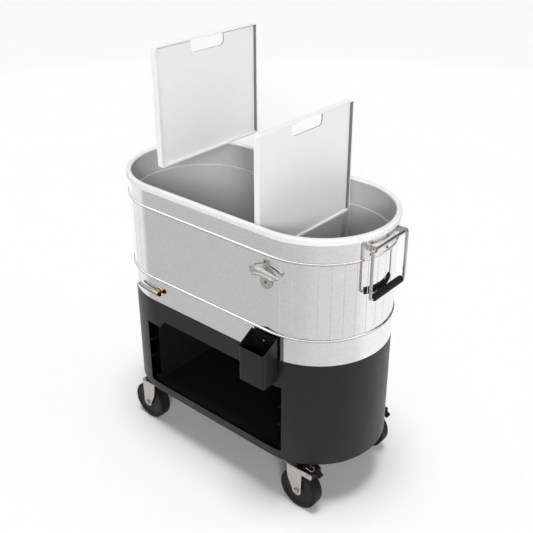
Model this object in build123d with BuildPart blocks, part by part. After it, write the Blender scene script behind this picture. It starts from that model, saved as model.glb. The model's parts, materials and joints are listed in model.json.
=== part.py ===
from build123d import *
import os
from math import cos, degrees, radians, sin, sqrt

# Patio cooler: an oval insulated tub on a wheeled stand with an open shelf bay.
# Length along X, front towards -Y, +Z up. The origin is on the floor under the middle of the tub.
os.makedirs("parts", exist_ok=True)

# Fits, in millimetres
slip = 0.1  # flat faces of pieces that are fixed together
curve_gap = 0.2  # curved faces of pieces that are fixed together
moving_gap = 0.5  # faces that pass each other
running = 0.05  # radial clearance of a pin in its hole

# Plan of the tub and the stand
half_straight = 226.0
tub_radius = 216.0

# Heights
caster_height = 164.0
base_height = 338.0
tub_height = 379.0

# Tub walls
shell_wall = 1.5
foam_wall = 8.1
foam_floor = 19.0
liner_wall = 2.5
liner_floor = 3.0
liner_ledge = 2.5
liner_corner = 4.0
ledge_depth = 81.0

# Rim trim
trim_cover = 6.0
trim_overlap = 5.0
trim_skirt = 17.0
trim_overhang = 0.7
trim_round = 4.5

# Hoops and staves
hoop_height = 8.0
hoop_stand = 4.0
hoop_bevel = 2.2
lower_hoop_rise = 80.0
upper_hoop_drop = 71.0
seam_pitch = 9.0
right_first_seam = 10.2
left_first_seam = 4.5
seam_width = 3.0
seam_depth = 0.9
stave_margin = 2.0

# Dividers and their guides
divider_inset = 48.5
divider_thickness = 18.0
divider_top_drop = 17.3
divider_frame = 5.0
divider_web = 3.0
divider_corner = 5.0
divider_seat = 1.0
divider_end_play = 0.9
left_divider_clear = 60.7
right_divider_dip = 18.3
hand_slot_width = 130.0
hand_slot_height = 36.0
hand_slot_corner = 14.0
guide_web = 1.5
guide_lip = 5.0
guide_depth = 9.0
guide_play = 0.7
guide_drop = 2.0

# Stand
skirt_wall = 1.2
deck_sheet = 1.5
deck_flange = 6.5
pan_sheet = 2.0
pan_flange = 12.0
bay_overhang = 44.0
bay_sill = 27.0
bay_lip = 64.0
bay_tab_drop = 26.0
bay_tab_reach = 82.0
bay_tab_slant = 24.0
tray_inset = 14.5
tray_sheet = 1.2
tray_rise = 14.0
tray_upstand = 22.0
tray_half_depth = 200.0
panel_sheet = 1.2
panel_front = 183.0
panel_back = 205.0
panel_tab_rises = (117.0, 179.0)
panel_tab_width = 11.0
deck_bolt_spacing_x = 150.0
deck_bolt_spacing_y = 300.0
deck_bolt_radius = 3.0
deck_bolt_reach = 8.0
deck_bolt_head = 6.5
deck_bolt_head_height = 4.0

# Screws in the tub wall
screw_radius = 2.4
screw_reach = 6.0
screw_head_radius = 4.2
screw_head_height = 2.6

# Bottle opener
opener_inset = 4.0
opener_plate = 4.0
opener_top_radius = 8.0
opener_low_radius = 20.0
opener_screw_spacing = 61.0
opener_drop = 17.0
hood_top_drop = 10.0
hood_half = 44.0
hood_arch = 16.0
hood_wall = 8.0
lip_drop = 19.0
lip_half = 30.0
lip_arch = 7.0
lip_wall = 4.5
lip_reach = 24.0
tooth_width = 16.0
tooth_reach = 9.0
tooth_height = 4.0
tooth_drop = 16.0

# Cap catcher and its hanging screw
catcher_inset = 8.0
catcher_width = 90.0
catcher_depth = 57.0
catcher_back_height = 136.0
catcher_front_height = 105.0
catcher_wall = 2.0
catcher_corner = 9.0
catcher_standoff = 5.0
catcher_hoop_drop = 4.0
catcher_screw_drop = 23.0
catcher_lift = 12.0
catcher_foot_spacing = 50.0
catcher_foot_radius = 6.0
catcher_foot_rise = 17.0
catcher_collar_radius = 6.0
catcher_head_radius = 4.7

# Handles
handle_plate_half = 84.0
handle_plate_sheet = 2.5
handle_plate_corner = 12.0
handle_margin = 1.0
handle_screw_angle = 16.0
handle_screw_edge = 7.0
handle_pivot_stand = 12.0
handle_pivot_drop = 36.0
ear_outer = 73.5
ear_sheet = 4.0
ear_radius = 8.0
bail_drop = 141.0
bail_rod = 4.5
bail_corner = 6.0
grip_half = 66.5
grip_radius = 10.0
grip_round = 3.0

# Drain
drain_inset = 20.0
drain_rise = 15.0
drain_neck = 6.5
drain_bore = 3.5
drain_gasket_sheet = 2.0
drain_flange_radius = 11.0
drain_flange_sheet = 1.5
drain_stand = 10.2
drain_barrel_radius = 7.5
drain_barrel_half = 12.0
drain_nut_flat = 9.5
drain_nut_height = 6.0
drain_thread_end = 8.0
tube_radius = 5.5
tube_wall = 1.2
tube_socket = 8.0
tube_turn = 16.0
knob_radius = 6.5
knob_height = 5.0
knob_stem_radius = 3.0
knob_stem = 7.0
knob_wing = 3.0

# Casters
caster_overhang = 62.0
caster_inset = 41.4
caster_trail = 30.0
wheel_radius = 63.5
wheel_width = 38.0
tyre_section = 12.5
tyre_round = 5.0
hub_length = 42.0
hub_radius = 13.0
hub_web = 12.0
hub_rim = 5.0
axle_radius = 5.0
axle_head_flat = 7.0
axle_head_height = 5.0
fork_sheet = 3.0
fork_crown = 149.0
fork_toe = 49.0
fork_heel = 30.0
fork_heel_round = 22.0
fork_end_radius = 16.0
leg_heel = 6.0
leg_knee = 106.0
race_radius = 24.0
swivel_gap = 0.3
swivel_cap_radius = 32.0
swivel_cap_sheet = 6.0
king_pin_radius = 6.0
king_pin_head_radius = 10.0
king_pin_head_height = 5.0
stem_radius = 8.0
stem_length = 18.0
stem_nut_flat = 12.0
stem_nut_height = 10.0

# Caster brakes
brake_arm_end = 83.0
brake_arm_height = 18.0
brake_pivot_out = 66.0
brake_pivot_height = 141.0
brake_pin_radius = 3.0
pedal_start = 45.0
pedal_end = 84.0
pedal_start_height = 157.5
pedal_end_height = 150.0
pedal_half = 16.0
pedal_sheet = 5.0
pedal_boss_radius = 7.0
pedal_tab_reach = 16.0
pedal_tab_drop = 8.0
pedal_tab_half = 10.5
shoe_half = 4.0
shoe_out = 5.0
shoe_drop = 22.5

# Levels and radii that follow from them
base_bottom = caster_height
deck_level = base_bottom + base_height
rim_top = deck_level + tub_height
trim_under = rim_top - trim_cover
wall_top = trim_under - slip
lower_hoop_level = deck_level + lower_hoop_rise
upper_hoop_level = rim_top - upper_hoop_drop
stave_bottom = lower_hoop_level + hoop_height / 2 + stave_margin
stave_top = upper_hoop_level - hoop_height / 2 - stave_margin
ledge_level = rim_top - ledge_depth
foam_bottom = deck_level + shell_wall + slip
liner_bottom = foam_bottom + foam_floor + slip
tub_floor = liner_bottom + liner_floor
flange_bottom = wall_top - liner_wall
seat_level = tub_floor + divider_seat
divider_height = rim_top - divider_top_drop - seat_level
divider_x = half_straight - divider_inset
guide_top = ledge_level - guide_drop
shell_inner = tub_radius - shell_wall
foam_outer = shell_inner - curve_gap
liner_low_outer = foam_outer - foam_wall - curve_gap
liner_low = liner_low_outer - liner_wall
liner_high = liner_low + liner_ledge
liner_high_outer = liner_high + liner_wall
skirt_inner = tub_radius - skirt_wall
frame_radius = skirt_inner - curve_gap
pan_top = base_bottom + pan_sheet
caster_x = half_straight + caster_overhang
caster_y = tub_radius - caster_inset
screw_hole = screw_radius + slip
opener_x = half_straight - opener_inset
opener_seat = tub_radius + curve_gap
opener_top_screw = upper_hoop_level - opener_drop
opener_low_screw = opener_top_screw - opener_screw_spacing
catcher_x = half_straight - catcher_inset
catcher_back = tub_radius + catcher_standoff
catcher_front = catcher_back + catcher_depth
catcher_top = lower_hoop_level - hoop_height / 2 - catcher_hoop_drop
catcher_bottom = catcher_top - catcher_back_height
catcher_screw_level = catcher_top - catcher_screw_drop
plate_inner = tub_radius + curve_gap
plate_outer = plate_inner + handle_plate_sheet
plate_bottom = upper_hoop_level + hoop_height / 2 + handle_margin
plate_top = rim_top - trim_skirt - handle_margin
pivot_x = half_straight + tub_radius + handle_pivot_stand
pivot_level = rim_top - handle_pivot_drop
grip_level = pivot_level - bail_drop
bail_half = ear_outer + moving_gap + bail_corner
drain_x = -(half_straight - drain_inset)
drain_level = tub_floor + drain_rise
drain_axis_y = -(tub_radius + drain_stand)
fork_inner = hub_length / 2 + moving_gap
fork_outer = fork_inner + fork_sheet
rim_radius = wheel_radius - tyre_section


def save(piece, name):
    piece.part.label = name
    export_step(piece.part, f"parts/{name}.step")


def end_point(side, angle, radius):
    """A plan point on an end of the oval; the angle runs from the front tangent round to the back one."""
    return (side * (half_straight + radius * sin(radians(angle))), -radius * cos(radians(angle)))


def wall_plane(side, angle, level, radius=tub_radius):
    """A plane on the end wall that faces outwards."""
    x, y = end_point(side, angle, radius)
    outward = (side * sin(radians(angle)), -cos(radians(angle)), 0)
    return Plane(origin=(x, y, level), x_dir=(0, 0, 1), z_dir=outward)


def front_plane(x, level, stand=0.0):
    """A plane on the flat front wall, or that far in front of it, that faces the front."""
    return Plane(origin=(x, -tub_radius - stand, level), x_dir=(1, 0, 0), z_dir=(0, -1, 0))


def stave_outline():
    """The tub's plan between the hoops: flat staves on the ends, with a crease at each seam."""
    half_seam = degrees(seam_width / 2 / tub_radius)
    outline = []
    for side, first_seam in ((1, right_first_seam), (-1, left_first_seam)):
        end = [end_point(side, 0, tub_radius)]
        seam = first_seam
        while seam + half_seam < 180:
            end.append(end_point(side, seam - half_seam, tub_radius))
            end.append(end_point(side, seam, tub_radius - seam_depth))
            end.append(end_point(side, seam + half_seam, tub_radius))
            seam += seam_pitch
        end.append(end_point(side, 180, tub_radius))
        outline += end[::side]
    return outline


handle_rows = (plate_bottom + handle_screw_edge, plate_top - handle_screw_edge)
handle_angles = (90 - handle_screw_angle, 90, 90 + handle_screw_angle)
handle_screw_planes = [
    wall_plane(side, angle, level) for side in (1, -1) for level in handle_rows for angle in handle_angles
]
opener_screw_planes = [front_plane(opener_x, opener_top_screw), front_plane(opener_x, opener_low_screw)]
catcher_screw_plane = front_plane(catcher_x, catcher_screw_level)
wall_screw_planes = handle_screw_planes + opener_screw_planes + [catcher_screw_plane]
drain_plane = front_plane(drain_x, drain_level)

# Tub shell: one drawn cup, plain under the hoops and creased into staves between them
with BuildPart() as tub_shell:
    with BuildSketch(Plane.XY.offset(deck_level)):
        SlotCenterToCenter(2 * half_straight, 2 * tub_radius)
    extrude(amount=stave_bottom - deck_level)
    with BuildSketch(Plane.XY.offset(stave_bottom)):
        with BuildLine():
            Polyline(*stave_outline(), close=True)
        make_face()
    extrude(amount=stave_top - stave_bottom)
    with BuildSketch(Plane.XY.offset(stave_top)):
        SlotCenterToCenter(2 * half_straight, 2 * tub_radius)
    extrude(amount=wall_top - stave_top)
    with BuildSketch(Plane.XY.offset(deck_level + shell_wall)):
        SlotCenterToCenter(2 * half_straight, 2 * shell_inner)
    extrude(amount=wall_top - deck_level, mode=Mode.SUBTRACT)
    with Locations(*wall_screw_planes):
        Cylinder(screw_hole, 4 * shell_wall, mode=Mode.SUBTRACT)
    with Locations(drain_plane):
        Cylinder(drain_neck + slip, 4 * shell_wall, mode=Mode.SUBTRACT)
    with Locations((0, 0, deck_level)):
        with GridLocations(deck_bolt_spacing_x, deck_bolt_spacing_y, 3, 2):
            Cylinder(deck_bolt_radius + slip, 4 * shell_wall, mode=Mode.SUBTRACT)
save(tub_shell, "tub_shell")

# Hoops: bevelled bands round the shell
for name, level in (("lower_hoop", lower_hoop_level), ("upper_hoop", upper_hoop_level)):
    with BuildPart() as hoop:
        with BuildSketch(Plane.XY.offset(level - hoop_height / 2)):
            SlotCenterToCenter(2 * half_straight, 2 * (tub_radius + hoop_stand))
            SlotCenterToCenter(2 * half_straight, 2 * (tub_radius + slip), mode=Mode.SUBTRACT)
        extrude(amount=hoop_height)
        outer_loops = [face.outer_wire().edges() for face in hoop.faces().filter_by(Axis.Z)]
        chamfer(outer_loops[0] + outer_loops[1], length=hoop_bevel)
    save(hoop, name)

# Foam between the shell and the liner
with BuildPart() as foam_insulation:
    with BuildSketch(Plane.XY.offset(foam_bottom)):
        SlotCenterToCenter(2 * half_straight, 2 * foam_outer)
    extrude(amount=flange_bottom - slip - foam_bottom)
    with BuildSketch(Plane.XY.offset(foam_bottom + foam_floor)):
        SlotCenterToCenter(2 * half_straight, 2 * (liner_low_outer + curve_gap))
    extrude(amount=tub_height, mode=Mode.SUBTRACT)
    with BuildSketch(Plane.XY.offset(ledge_level - liner_wall - slip)):
        SlotCenterToCenter(2 * half_straight, 2 * (liner_high_outer + curve_gap))
    extrude(amount=tub_height, mode=Mode.SUBTRACT)
    with Locations(*wall_screw_planes):
        Cylinder(screw_hole, 2 * (screw_reach + slip), mode=Mode.SUBTRACT)
    with Locations(drain_plane):
        Cylinder(drain_neck + slip, 2 * (tub_radius - liner_low), mode=Mode.SUBTRACT)
    with Locations((0, 0, foam_bottom)):
        with GridLocations(deck_bolt_spacing_x, deck_bolt_spacing_y, 3, 2):
            Cylinder(deck_bolt_radius + slip, 2 * deck_bolt_reach, mode=Mode.SUBTRACT)
save(foam_insulation, "foam_insulation")

# Liner: a moulded tub with a ledge round its wall and a flange under the rim trim
with BuildPart() as tub_liner:
    with BuildSketch(Plane.XY.offset(liner_bottom)):
        SlotCenterToCenter(2 * half_straight, 2 * liner_low_outer)
    extrude(amount=ledge_level - liner_bottom)
    with BuildSketch(Plane.XY.offset(ledge_level - liner_wall)):
        SlotCenterToCenter(2 * half_straight, 2 * liner_high_outer)
    extrude(amount=wall_top - ledge_level + liner_wall)
    with BuildSketch(Plane.XY.offset(flange_bottom)):
        SlotCenterToCenter(2 * half_straight, 2 * foam_outer)
    extrude(amount=liner_wall)
    with BuildSketch(Plane.XY.offset(tub_floor)):
        SlotCenterToCenter(2 * half_straight, 2 * liner_low)
    extrude(amount=tub_height, mode=Mode.SUBTRACT)
    with BuildSketch(Plane.XY.offset(ledge_level)):
        SlotCenterToCenter(2 * half_straight, 2 * liner_high)
    extrude(amount=tub_height, mode=Mode.SUBTRACT)
    floor_face = tub_liner.faces().filter_by(Axis.Z).group_by(Axis.Z)[1][0]
    fillet(floor_face.edges(), radius=liner_corner)
    with Locations(drain_plane.offset(liner_low - tub_radius)):
        Cylinder(drain_neck + slip, 4 * liner_wall, mode=Mode.SUBTRACT)
save(tub_liner, "tub_liner")

# Rim trim: a rounded channel that caps the shell and the liner
with BuildPart() as rim_trim:
    with BuildSketch(Plane.XY.offset(rim_top - trim_skirt)):
        SlotCenterToCenter(2 * half_straight, 2 * (tub_radius + trim_overlap))
        SlotCenterToCenter(2 * half_straight, 2 * (liner_high - trim_overhang), mode=Mode.SUBTRACT)
    extrude(amount=trim_skirt)
    with BuildSketch(Plane.XY.offset(rim_top - trim_skirt)):
        SlotCenterToCenter(2 * half_straight, 2 * (tub_radius + curve_gap))
    extrude(amount=trim_skirt - trim_cover, mode=Mode.SUBTRACT)
    fillet(rim_trim.faces().sort_by(Axis.Z)[-1].edges(), radius=trim_round)
save(rim_trim, "rim_trim")

# Divider guides: channels on the front and back walls of the liner
guide_outer = liner_low - slip
guide_bottom = tub_floor + liner_corner + slip
slot_half = divider_thickness / 2 + guide_play
for x_side, x_name in ((-1, "left"), (1, "right")):
    for y_side, y_name in ((-1, "front"), (1, "rear")):
        guide_x = x_side * divider_x
        with BuildPart() as guide:
            with BuildSketch(Plane.XY.offset(guide_bottom)):
                with Locations((guide_x, y_side * (guide_outer - (guide_web + guide_depth) / 2))):
                    Rectangle(2 * (slot_half + guide_lip), guide_web + guide_depth)
                with Locations((guide_x, y_side * (guide_outer - guide_web - guide_depth / 2))):
                    Rectangle(2 * slot_half, guide_depth, mode=Mode.SUBTRACT)
            extrude(amount=guide_top - guide_bottom)
        save(guide, f"{y_name}_{x_name}_guide")

# Dividers: moulded panels, a web in a deep frame, with a hand slot under the top edge
divider_half = guide_outer - guide_web - divider_end_play
raised_dividers = (
    (-1, "left_divider", rim_top + left_divider_clear),
    (1, "right_divider", guide_top - right_divider_dip),
)
for side, name, lower_edge in raised_dividers:
    middle = Plane(
        origin=(side * divider_x, 0, lower_edge + divider_height / 2),
        x_dir=(0, 1, 0),
        z_dir=(1, 0, 0),
    )
    with BuildPart() as divider:
        with BuildSketch(middle):
            RectangleRounded(2 * divider_half, divider_height, divider_corner)
        extrude(amount=divider_thickness / 2, both=True)
        for face_side in (1, -1):
            with BuildSketch(middle.offset(face_side * divider_web / 2)):
                Rectangle(2 * (divider_half - divider_frame), divider_height - 2 * divider_frame)
            extrude(amount=face_side * divider_thickness, mode=Mode.SUBTRACT)
        with BuildSketch(middle) as hand_slot:
            with Locations((0, divider_height / 2 - divider_frame - hand_slot_height / 2)):
                Rectangle(hand_slot_width, hand_slot_height)
            fillet(hand_slot.vertices().group_by(Axis.Z)[0], radius=hand_slot_corner)
        extrude(amount=divider_thickness, both=True, mode=Mode.SUBTRACT)
    save(divider, name)

# Base skirt: the stand's wall, with the shelf opening cut in its front
bay_half = half_straight + bay_overhang
bay_floor = base_bottom + bay_sill
bay_top = deck_level - bay_lip
tab_out = bay_half - bay_tab_reach + bay_tab_slant
with BuildPart() as base_skirt:
    with BuildSketch(Plane.XY.offset(base_bottom)):
        SlotCenterToCenter(2 * half_straight, 2 * tub_radius)
        SlotCenterToCenter(2 * half_straight, 2 * skirt_inner, mode=Mode.SUBTRACT)
    extrude(amount=base_height - slip)
    with BuildSketch(Plane.XZ):
        with BuildLine():
            Polyline(
                (bay_half, bay_floor),
                (bay_half, bay_top - bay_tab_drop),
                (tab_out, bay_top - bay_tab_drop),
                (bay_half - bay_tab_reach, bay_top),
                (-bay_half + bay_tab_reach, bay_top),
                (-tab_out, bay_top - bay_tab_drop),
                (-bay_half, bay_top - bay_tab_drop),
                (-bay_half, bay_floor),
                close=True,
            )
        make_face()
    extrude(amount=2 * tub_radius, mode=Mode.SUBTRACT)
save(base_skirt, "base_skirt")

# Base pan: the bottom sheet that the casters bolt to
caster_places = [(x * caster_x, y * caster_y) for x in (-1, 1) for y in (-1, 1)]
with BuildPart() as base_pan:
    with BuildSketch(Plane.XY.offset(base_bottom)):
        SlotCenterToCenter(2 * half_straight, 2 * frame_radius)
    extrude(amount=pan_flange)
    with BuildSketch(Plane.XY.offset(pan_top)):
        SlotCenterToCenter(2 * half_straight, 2 * (frame_radius - pan_sheet))
    extrude(amount=pan_flange, mode=Mode.SUBTRACT)
    with Locations(*[(x, y, base_bottom) for x, y in caster_places]):
        Cylinder(stem_radius + slip, 4 * pan_sheet, mode=Mode.SUBTRACT)
save(base_pan, "base_pan")

# Base deck: the sheet under the tub, with a turned-down flange
deck_top = deck_level - slip
with BuildPart() as base_deck:
    with BuildSketch(Plane.XY.offset(deck_top)):
        SlotCenterToCenter(2 * half_straight, 2 * frame_radius)
    extrude(amount=-deck_flange)
    with BuildSketch(Plane.XY.offset(deck_top - deck_sheet)):
        SlotCenterToCenter(2 * half_straight, 2 * (frame_radius - deck_sheet))
    extrude(amount=-deck_flange, mode=Mode.SUBTRACT)
    with Locations((0, 0, deck_top)):
        with GridLocations(deck_bolt_spacing_x, deck_bolt_spacing_y, 3, 2):
            Cylinder(deck_bolt_radius + slip, 4 * deck_sheet, mode=Mode.SUBTRACT)
save(base_deck, "base_deck")

# Bolts that hold the tub on the deck
with BuildPart() as deck_bolts:
    with BuildSketch(Plane.XY.offset(deck_top - deck_sheet - slip)):
        with GridLocations(deck_bolt_spacing_x, deck_bolt_spacing_y, 3, 2):
            RegularPolygon(deck_bolt_head, 6, major_radius=False)
    extrude(amount=-deck_bolt_head_height)
    with BuildSketch(Plane.XY.offset(deck_top - deck_sheet - slip)):
        with GridLocations(deck_bolt_spacing_x, deck_bolt_spacing_y, 3, 2):
            Circle(deck_bolt_radius)
    extrude(amount=deck_sheet + shell_wall + deck_bolt_reach)
save(deck_bolts, "deck_bolts")

# Shelf tray: a folded sheet on the pan, turned up along its two ends
tray_half = bay_half - tray_inset
tray_floor = pan_top + tray_rise
with BuildPart() as shelf_tray:
    with BuildSketch(Plane.XZ.offset(-tray_half_depth)):
        with BuildLine():
            Polyline(
                (-tray_half, tray_floor + tray_upstand),
                (-tray_half, tray_floor - tray_sheet),
                (tray_half, tray_floor - tray_sheet),
                (tray_half, tray_floor + tray_upstand),
                (tray_half - tray_sheet, tray_floor + tray_upstand),
                (tray_half - tray_sheet, tray_floor),
                (-tray_half + tray_sheet, tray_floor),
                (-tray_half + tray_sheet, tray_floor + tray_upstand),
                close=True,
            )
        make_face()
    extrude(amount=2 * tray_half_depth)
    with BuildSketch(Plane.XY.offset(pan_top + slip)):
        with GridLocations(1, 2 * tray_half_depth - tray_sheet, 1, 2):
            Rectangle(2 * tray_half, tray_sheet)
    extrude(amount=tray_rise - slip)
save(shelf_tray, "shelf_tray")

# Bay panels: the shelf's end walls, with two tabs forward to the skirt
panel_inner = tray_half + slip
panel_bottom = pan_top + slip
panel_top = deck_top - deck_sheet - slip
for side, name in ((-1, "left_bay_panel"), (1, "right_bay_panel")):
    with BuildPart() as bay_panel:
        with BuildSketch(Plane.XY.offset(panel_bottom)):
            with Locations((side * (panel_inner + panel_sheet / 2), (panel_back - panel_front) / 2)):
                Rectangle(panel_sheet, panel_back + panel_front)
        extrude(amount=panel_top - panel_bottom)
        for rise in panel_tab_rises:
            with BuildSketch(Plane.XY.offset(base_bottom + rise)):
                SlotCenterToCenter(2 * half_straight, 2 * frame_radius)
                tab_middle = (panel_front - panel_sheet + tub_radius) / 2
                with Locations((side * (panel_inner + panel_tab_width / 2), -tab_middle)):
                    Rectangle(panel_tab_width, tub_radius - panel_front + panel_sheet, mode=Mode.INTERSECT)
            extrude(amount=panel_sheet)
    save(bay_panel, name)

# Bottle opener: a back plate with an arched hood and a tooth that lifts the cap
hood_top = opener_top_screw - hood_top_drop
lip_top = hood_top - lip_drop
opener_face = opener_seat + opener_plate
with BuildPart() as bottle_opener:
    with BuildSketch(Plane.XZ.offset(opener_seat)):
        with BuildLine():
            CenterArc((opener_x, opener_top_screw), opener_top_radius, 0, 360)
            CenterArc((opener_x, opener_low_screw), opener_low_radius, 0, 360)
        make_hull()
    extrude(amount=opener_plate)
    hood_root = (opener_face - opener_plate / 2, hood_half, hood_top, hood_arch, hood_wall)
    hood_lip = (opener_face + lip_reach, lip_half, lip_top, lip_arch, lip_wall)
    for reach, half_width, top, arch, wall in (hood_root, hood_lip):
        with BuildSketch(Plane.XZ.offset(reach)):
            with BuildLine():
                left, right = opener_x - half_width, opener_x + half_width
                roof = ThreePointArc((left, top - arch), (opener_x, top), (right, top - arch))
                under_left = (left + wall / 2, top - arch - wall)
                under_right = (right - wall / 2, top - arch - wall)
                under = ThreePointArc(under_left, (opener_x, top - wall), under_right)
                Line(roof @ 0, under @ 0)
                Line(roof @ 1, under @ 1)
            make_face()
    loft()
    with BuildSketch(Plane.XZ.offset(opener_face)):
        with Locations((opener_x, lip_top - tooth_drop)):
            Rectangle(tooth_width, tooth_height)
    extrude(amount=tooth_reach)
    with Locations(*opener_screw_planes):
        Cylinder(screw_hole, 4 * opener_plate, mode=Mode.SUBTRACT)
save(bottle_opener, "bottle_opener")


def add_screws(planes, clamped, head_radius=screw_head_radius):
    """Add pan-head screws that clamp a piece of that thickness to the wall."""
    for plane in planes:
        with BuildSketch(plane.offset(-screw_reach)) as shank:
            Circle(screw_radius)
        extrude(shank.sketch, amount=screw_reach + clamped + slip)
        with BuildSketch(plane.offset(clamped + slip)) as head:
            Circle(head_radius)
        extrude(head.sketch, amount=screw_head_height)


with BuildPart() as opener_screws:
    add_screws(opener_screw_planes, curve_gap + opener_plate)
save(opener_screws, "opener_screws")

# Cap catcher: an open bin with a sloping rim, hung by a keyhole on one shouldered screw
with BuildPart() as cap_catcher:
    with BuildSketch(Plane.XY.offset(catcher_bottom)) as outline:
        with Locations((catcher_x, -(catcher_back + catcher_front) / 2)):
            Rectangle(catcher_width, catcher_depth)
        fillet(outline.vertices().group_by(Axis.Y)[0], radius=catcher_corner)
    extrude(amount=catcher_back_height)
    with BuildSketch(Plane.XY.offset(catcher_bottom + catcher_wall)) as hollow:
        with Locations((catcher_x, -(catcher_back + catcher_front) / 2)):
            Rectangle(catcher_width - 2 * catcher_wall, catcher_depth - 2 * catcher_wall)
        fillet(hollow.vertices().group_by(Axis.Y)[0], radius=catcher_corner - catcher_wall)
    extrude(amount=catcher_back_height, mode=Mode.SUBTRACT)
    with BuildSketch(Plane.YZ.offset(catcher_x - catcher_width)):
        with BuildLine():
            Polyline(
                (-catcher_back - catcher_wall, catcher_top),
                (-catcher_front, catcher_bottom + catcher_front_height),
                (-catcher_front - catcher_depth, catcher_bottom + catcher_front_height),
                (-catcher_front - catcher_depth, catcher_top + catcher_depth),
                (-catcher_back - catcher_wall, catcher_top + catcher_depth),
                close=True,
            )
        make_face()
    extrude(amount=2 * catcher_width, mode=Mode.SUBTRACT)
    with BuildSketch(front_plane(catcher_x, catcher_screw_level, catcher_standoff - catcher_wall)):
        Circle(screw_radius + moving_gap)
        with Locations((0, -catcher_lift / 2)):
            Rectangle(2 * (screw_radius + moving_gap), catcher_lift)
        with Locations((0, -catcher_lift)):
            Circle(catcher_head_radius + moving_gap)
    extrude(amount=3 * catcher_wall, mode=Mode.SUBTRACT)
    with BuildSketch(front_plane(catcher_x, catcher_bottom + catcher_foot_rise, slip + curve_gap)):
        with GridLocations(catcher_foot_spacing, 1, 2, 1):
            Circle(catcher_foot_radius)
    extrude(amount=catcher_standoff)
save(cap_catcher, "cap_catcher")

with BuildPart() as catcher_screw:
    add_screws([catcher_screw_plane], catcher_standoff + catcher_wall + moving_gap, catcher_head_radius)
    with BuildSketch(catcher_screw_plane.offset(curve_gap)):
        Circle(catcher_collar_radius)
    extrude(amount=catcher_standoff - 2 * curve_gap)
save(catcher_screw, "catcher_screw")

# Handles: a curved plate with two ears, and a bail with a grip that hangs in them
ear_middle = ear_outer - ear_sheet / 2
ear_root = half_straight + sqrt((plate_inner + handle_plate_sheet / 2) ** 2 - ear_middle**2)
for side, name in ((1, "right"), (-1, "left")):
    with BuildPart() as handle_plate:
        with BuildSketch(Plane.XY.offset(plate_bottom)):
            SlotCenterToCenter(2 * half_straight, 2 * plate_outer)
            SlotCenterToCenter(2 * half_straight, 2 * plate_inner, mode=Mode.SUBTRACT)
        extrude(amount=plate_top - plate_bottom)
        with BuildSketch(Plane.YZ):
            with Locations((0, (plate_bottom + plate_top) / 2)):
                RectangleRounded(2 * handle_plate_half, plate_top - plate_bottom, handle_plate_corner)
        extrude(amount=side * 2 * pivot_x, mode=Mode.INTERSECT)
        for ear_side in (1, -1):
            with BuildSketch(Plane.XZ.offset(ear_side * ear_middle)):
                with Locations((side * (ear_root + pivot_x) / 2, pivot_level)):
                    Rectangle(pivot_x - ear_root, 2 * ear_radius)
                with Locations((side * pivot_x, pivot_level)):
                    Circle(ear_radius)
                    Circle(bail_rod + running, mode=Mode.SUBTRACT)
            extrude(amount=ear_sheet / 2, both=True)
        with Locations(*handle_screw_planes):
            Cylinder(screw_hole, 4 * handle_plate_sheet, mode=Mode.SUBTRACT)
    save(handle_plate, f"{name}_handle_plate")

    with BuildPart() as bail:
        with BuildLine(Plane.YZ.offset(side * pivot_x)) as loop:
            FilletPolyline(
                (bail_half, pivot_level),
                (bail_half, grip_level),
                (-bail_half, grip_level),
                (-bail_half, pivot_level),
                radius=bail_corner,
                close=True,
            )
        with BuildSketch(Plane(origin=loop.line @ 0, z_dir=loop.line % 0)):
            Circle(bail_rod)
        sweep()
    save(bail, f"{name}_bail")

    with BuildPart() as grip:
        with BuildSketch(Plane.XZ.offset(-grip_half)):
            with Locations((side * pivot_x, grip_level)):
                Circle(grip_radius)
                Circle(bail_rod + running, mode=Mode.SUBTRACT)
        extrude(amount=2 * grip_half)
        end_rims = [face.outer_wire().edges() for face in grip.faces().filter_by(Axis.Y)]
        fillet(end_rims[0] + end_rims[1], radius=grip_round)
    save(grip, f"{name}_grip")

with BuildPart() as handle_screws:
    add_screws(handle_screw_planes, curve_gap + handle_plate_sheet)
save(handle_screws, "handle_screws")

# Drain: a brass tee through the wall, a gasket, an inner nut, an outlet tube along the wall and a knob
barrel_left = Plane(origin=(drain_x - drain_barrel_half, drain_axis_y, drain_level), z_dir=(1, 0, 0))
flange_seat = drain_gasket_sheet + curve_gap + slip
neck_start = liner_low - tub_radius - drain_thread_end
with BuildPart() as drain_body:
    with BuildSketch(drain_plane.offset(neck_start)):
        Circle(drain_neck)
    extrude(amount=drain_stand - neck_start)
    with BuildSketch(drain_plane.offset(flange_seat)):
        Circle(drain_flange_radius)
    extrude(amount=drain_flange_sheet)
    with BuildSketch(barrel_left):
        Circle(drain_barrel_radius)
    extrude(amount=2 * drain_barrel_half)
    with BuildSketch(drain_plane.offset(neck_start)):
        Circle(drain_bore)
    extrude(amount=drain_stand - neck_start, mode=Mode.SUBTRACT)
    with BuildSketch(barrel_left):
        Circle(knob_stem_radius + running)
    extrude(amount=2 * drain_barrel_half, mode=Mode.SUBTRACT)
    with BuildSketch(barrel_left):
        Circle(tube_radius + running)
    extrude(amount=tube_socket, mode=Mode.SUBTRACT)
save(drain_body, "drain_body")

with BuildPart() as drain_gasket:
    with BuildSketch(drain_plane.offset(curve_gap)):
        Circle(drain_flange_radius)
        Circle(drain_neck + slip, mode=Mode.SUBTRACT)
    extrude(amount=drain_gasket_sheet)
save(drain_gasket, "drain_gasket")

with BuildPart() as drain_nut:
    with BuildSketch(drain_plane.offset(liner_low - tub_radius - slip)):
        RegularPolygon(drain_nut_flat, 6, major_radius=False, rotation=30)
        Circle(drain_neck + running, mode=Mode.SUBTRACT)
    extrude(amount=-drain_nut_height)
save(drain_nut, "drain_nut")

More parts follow.
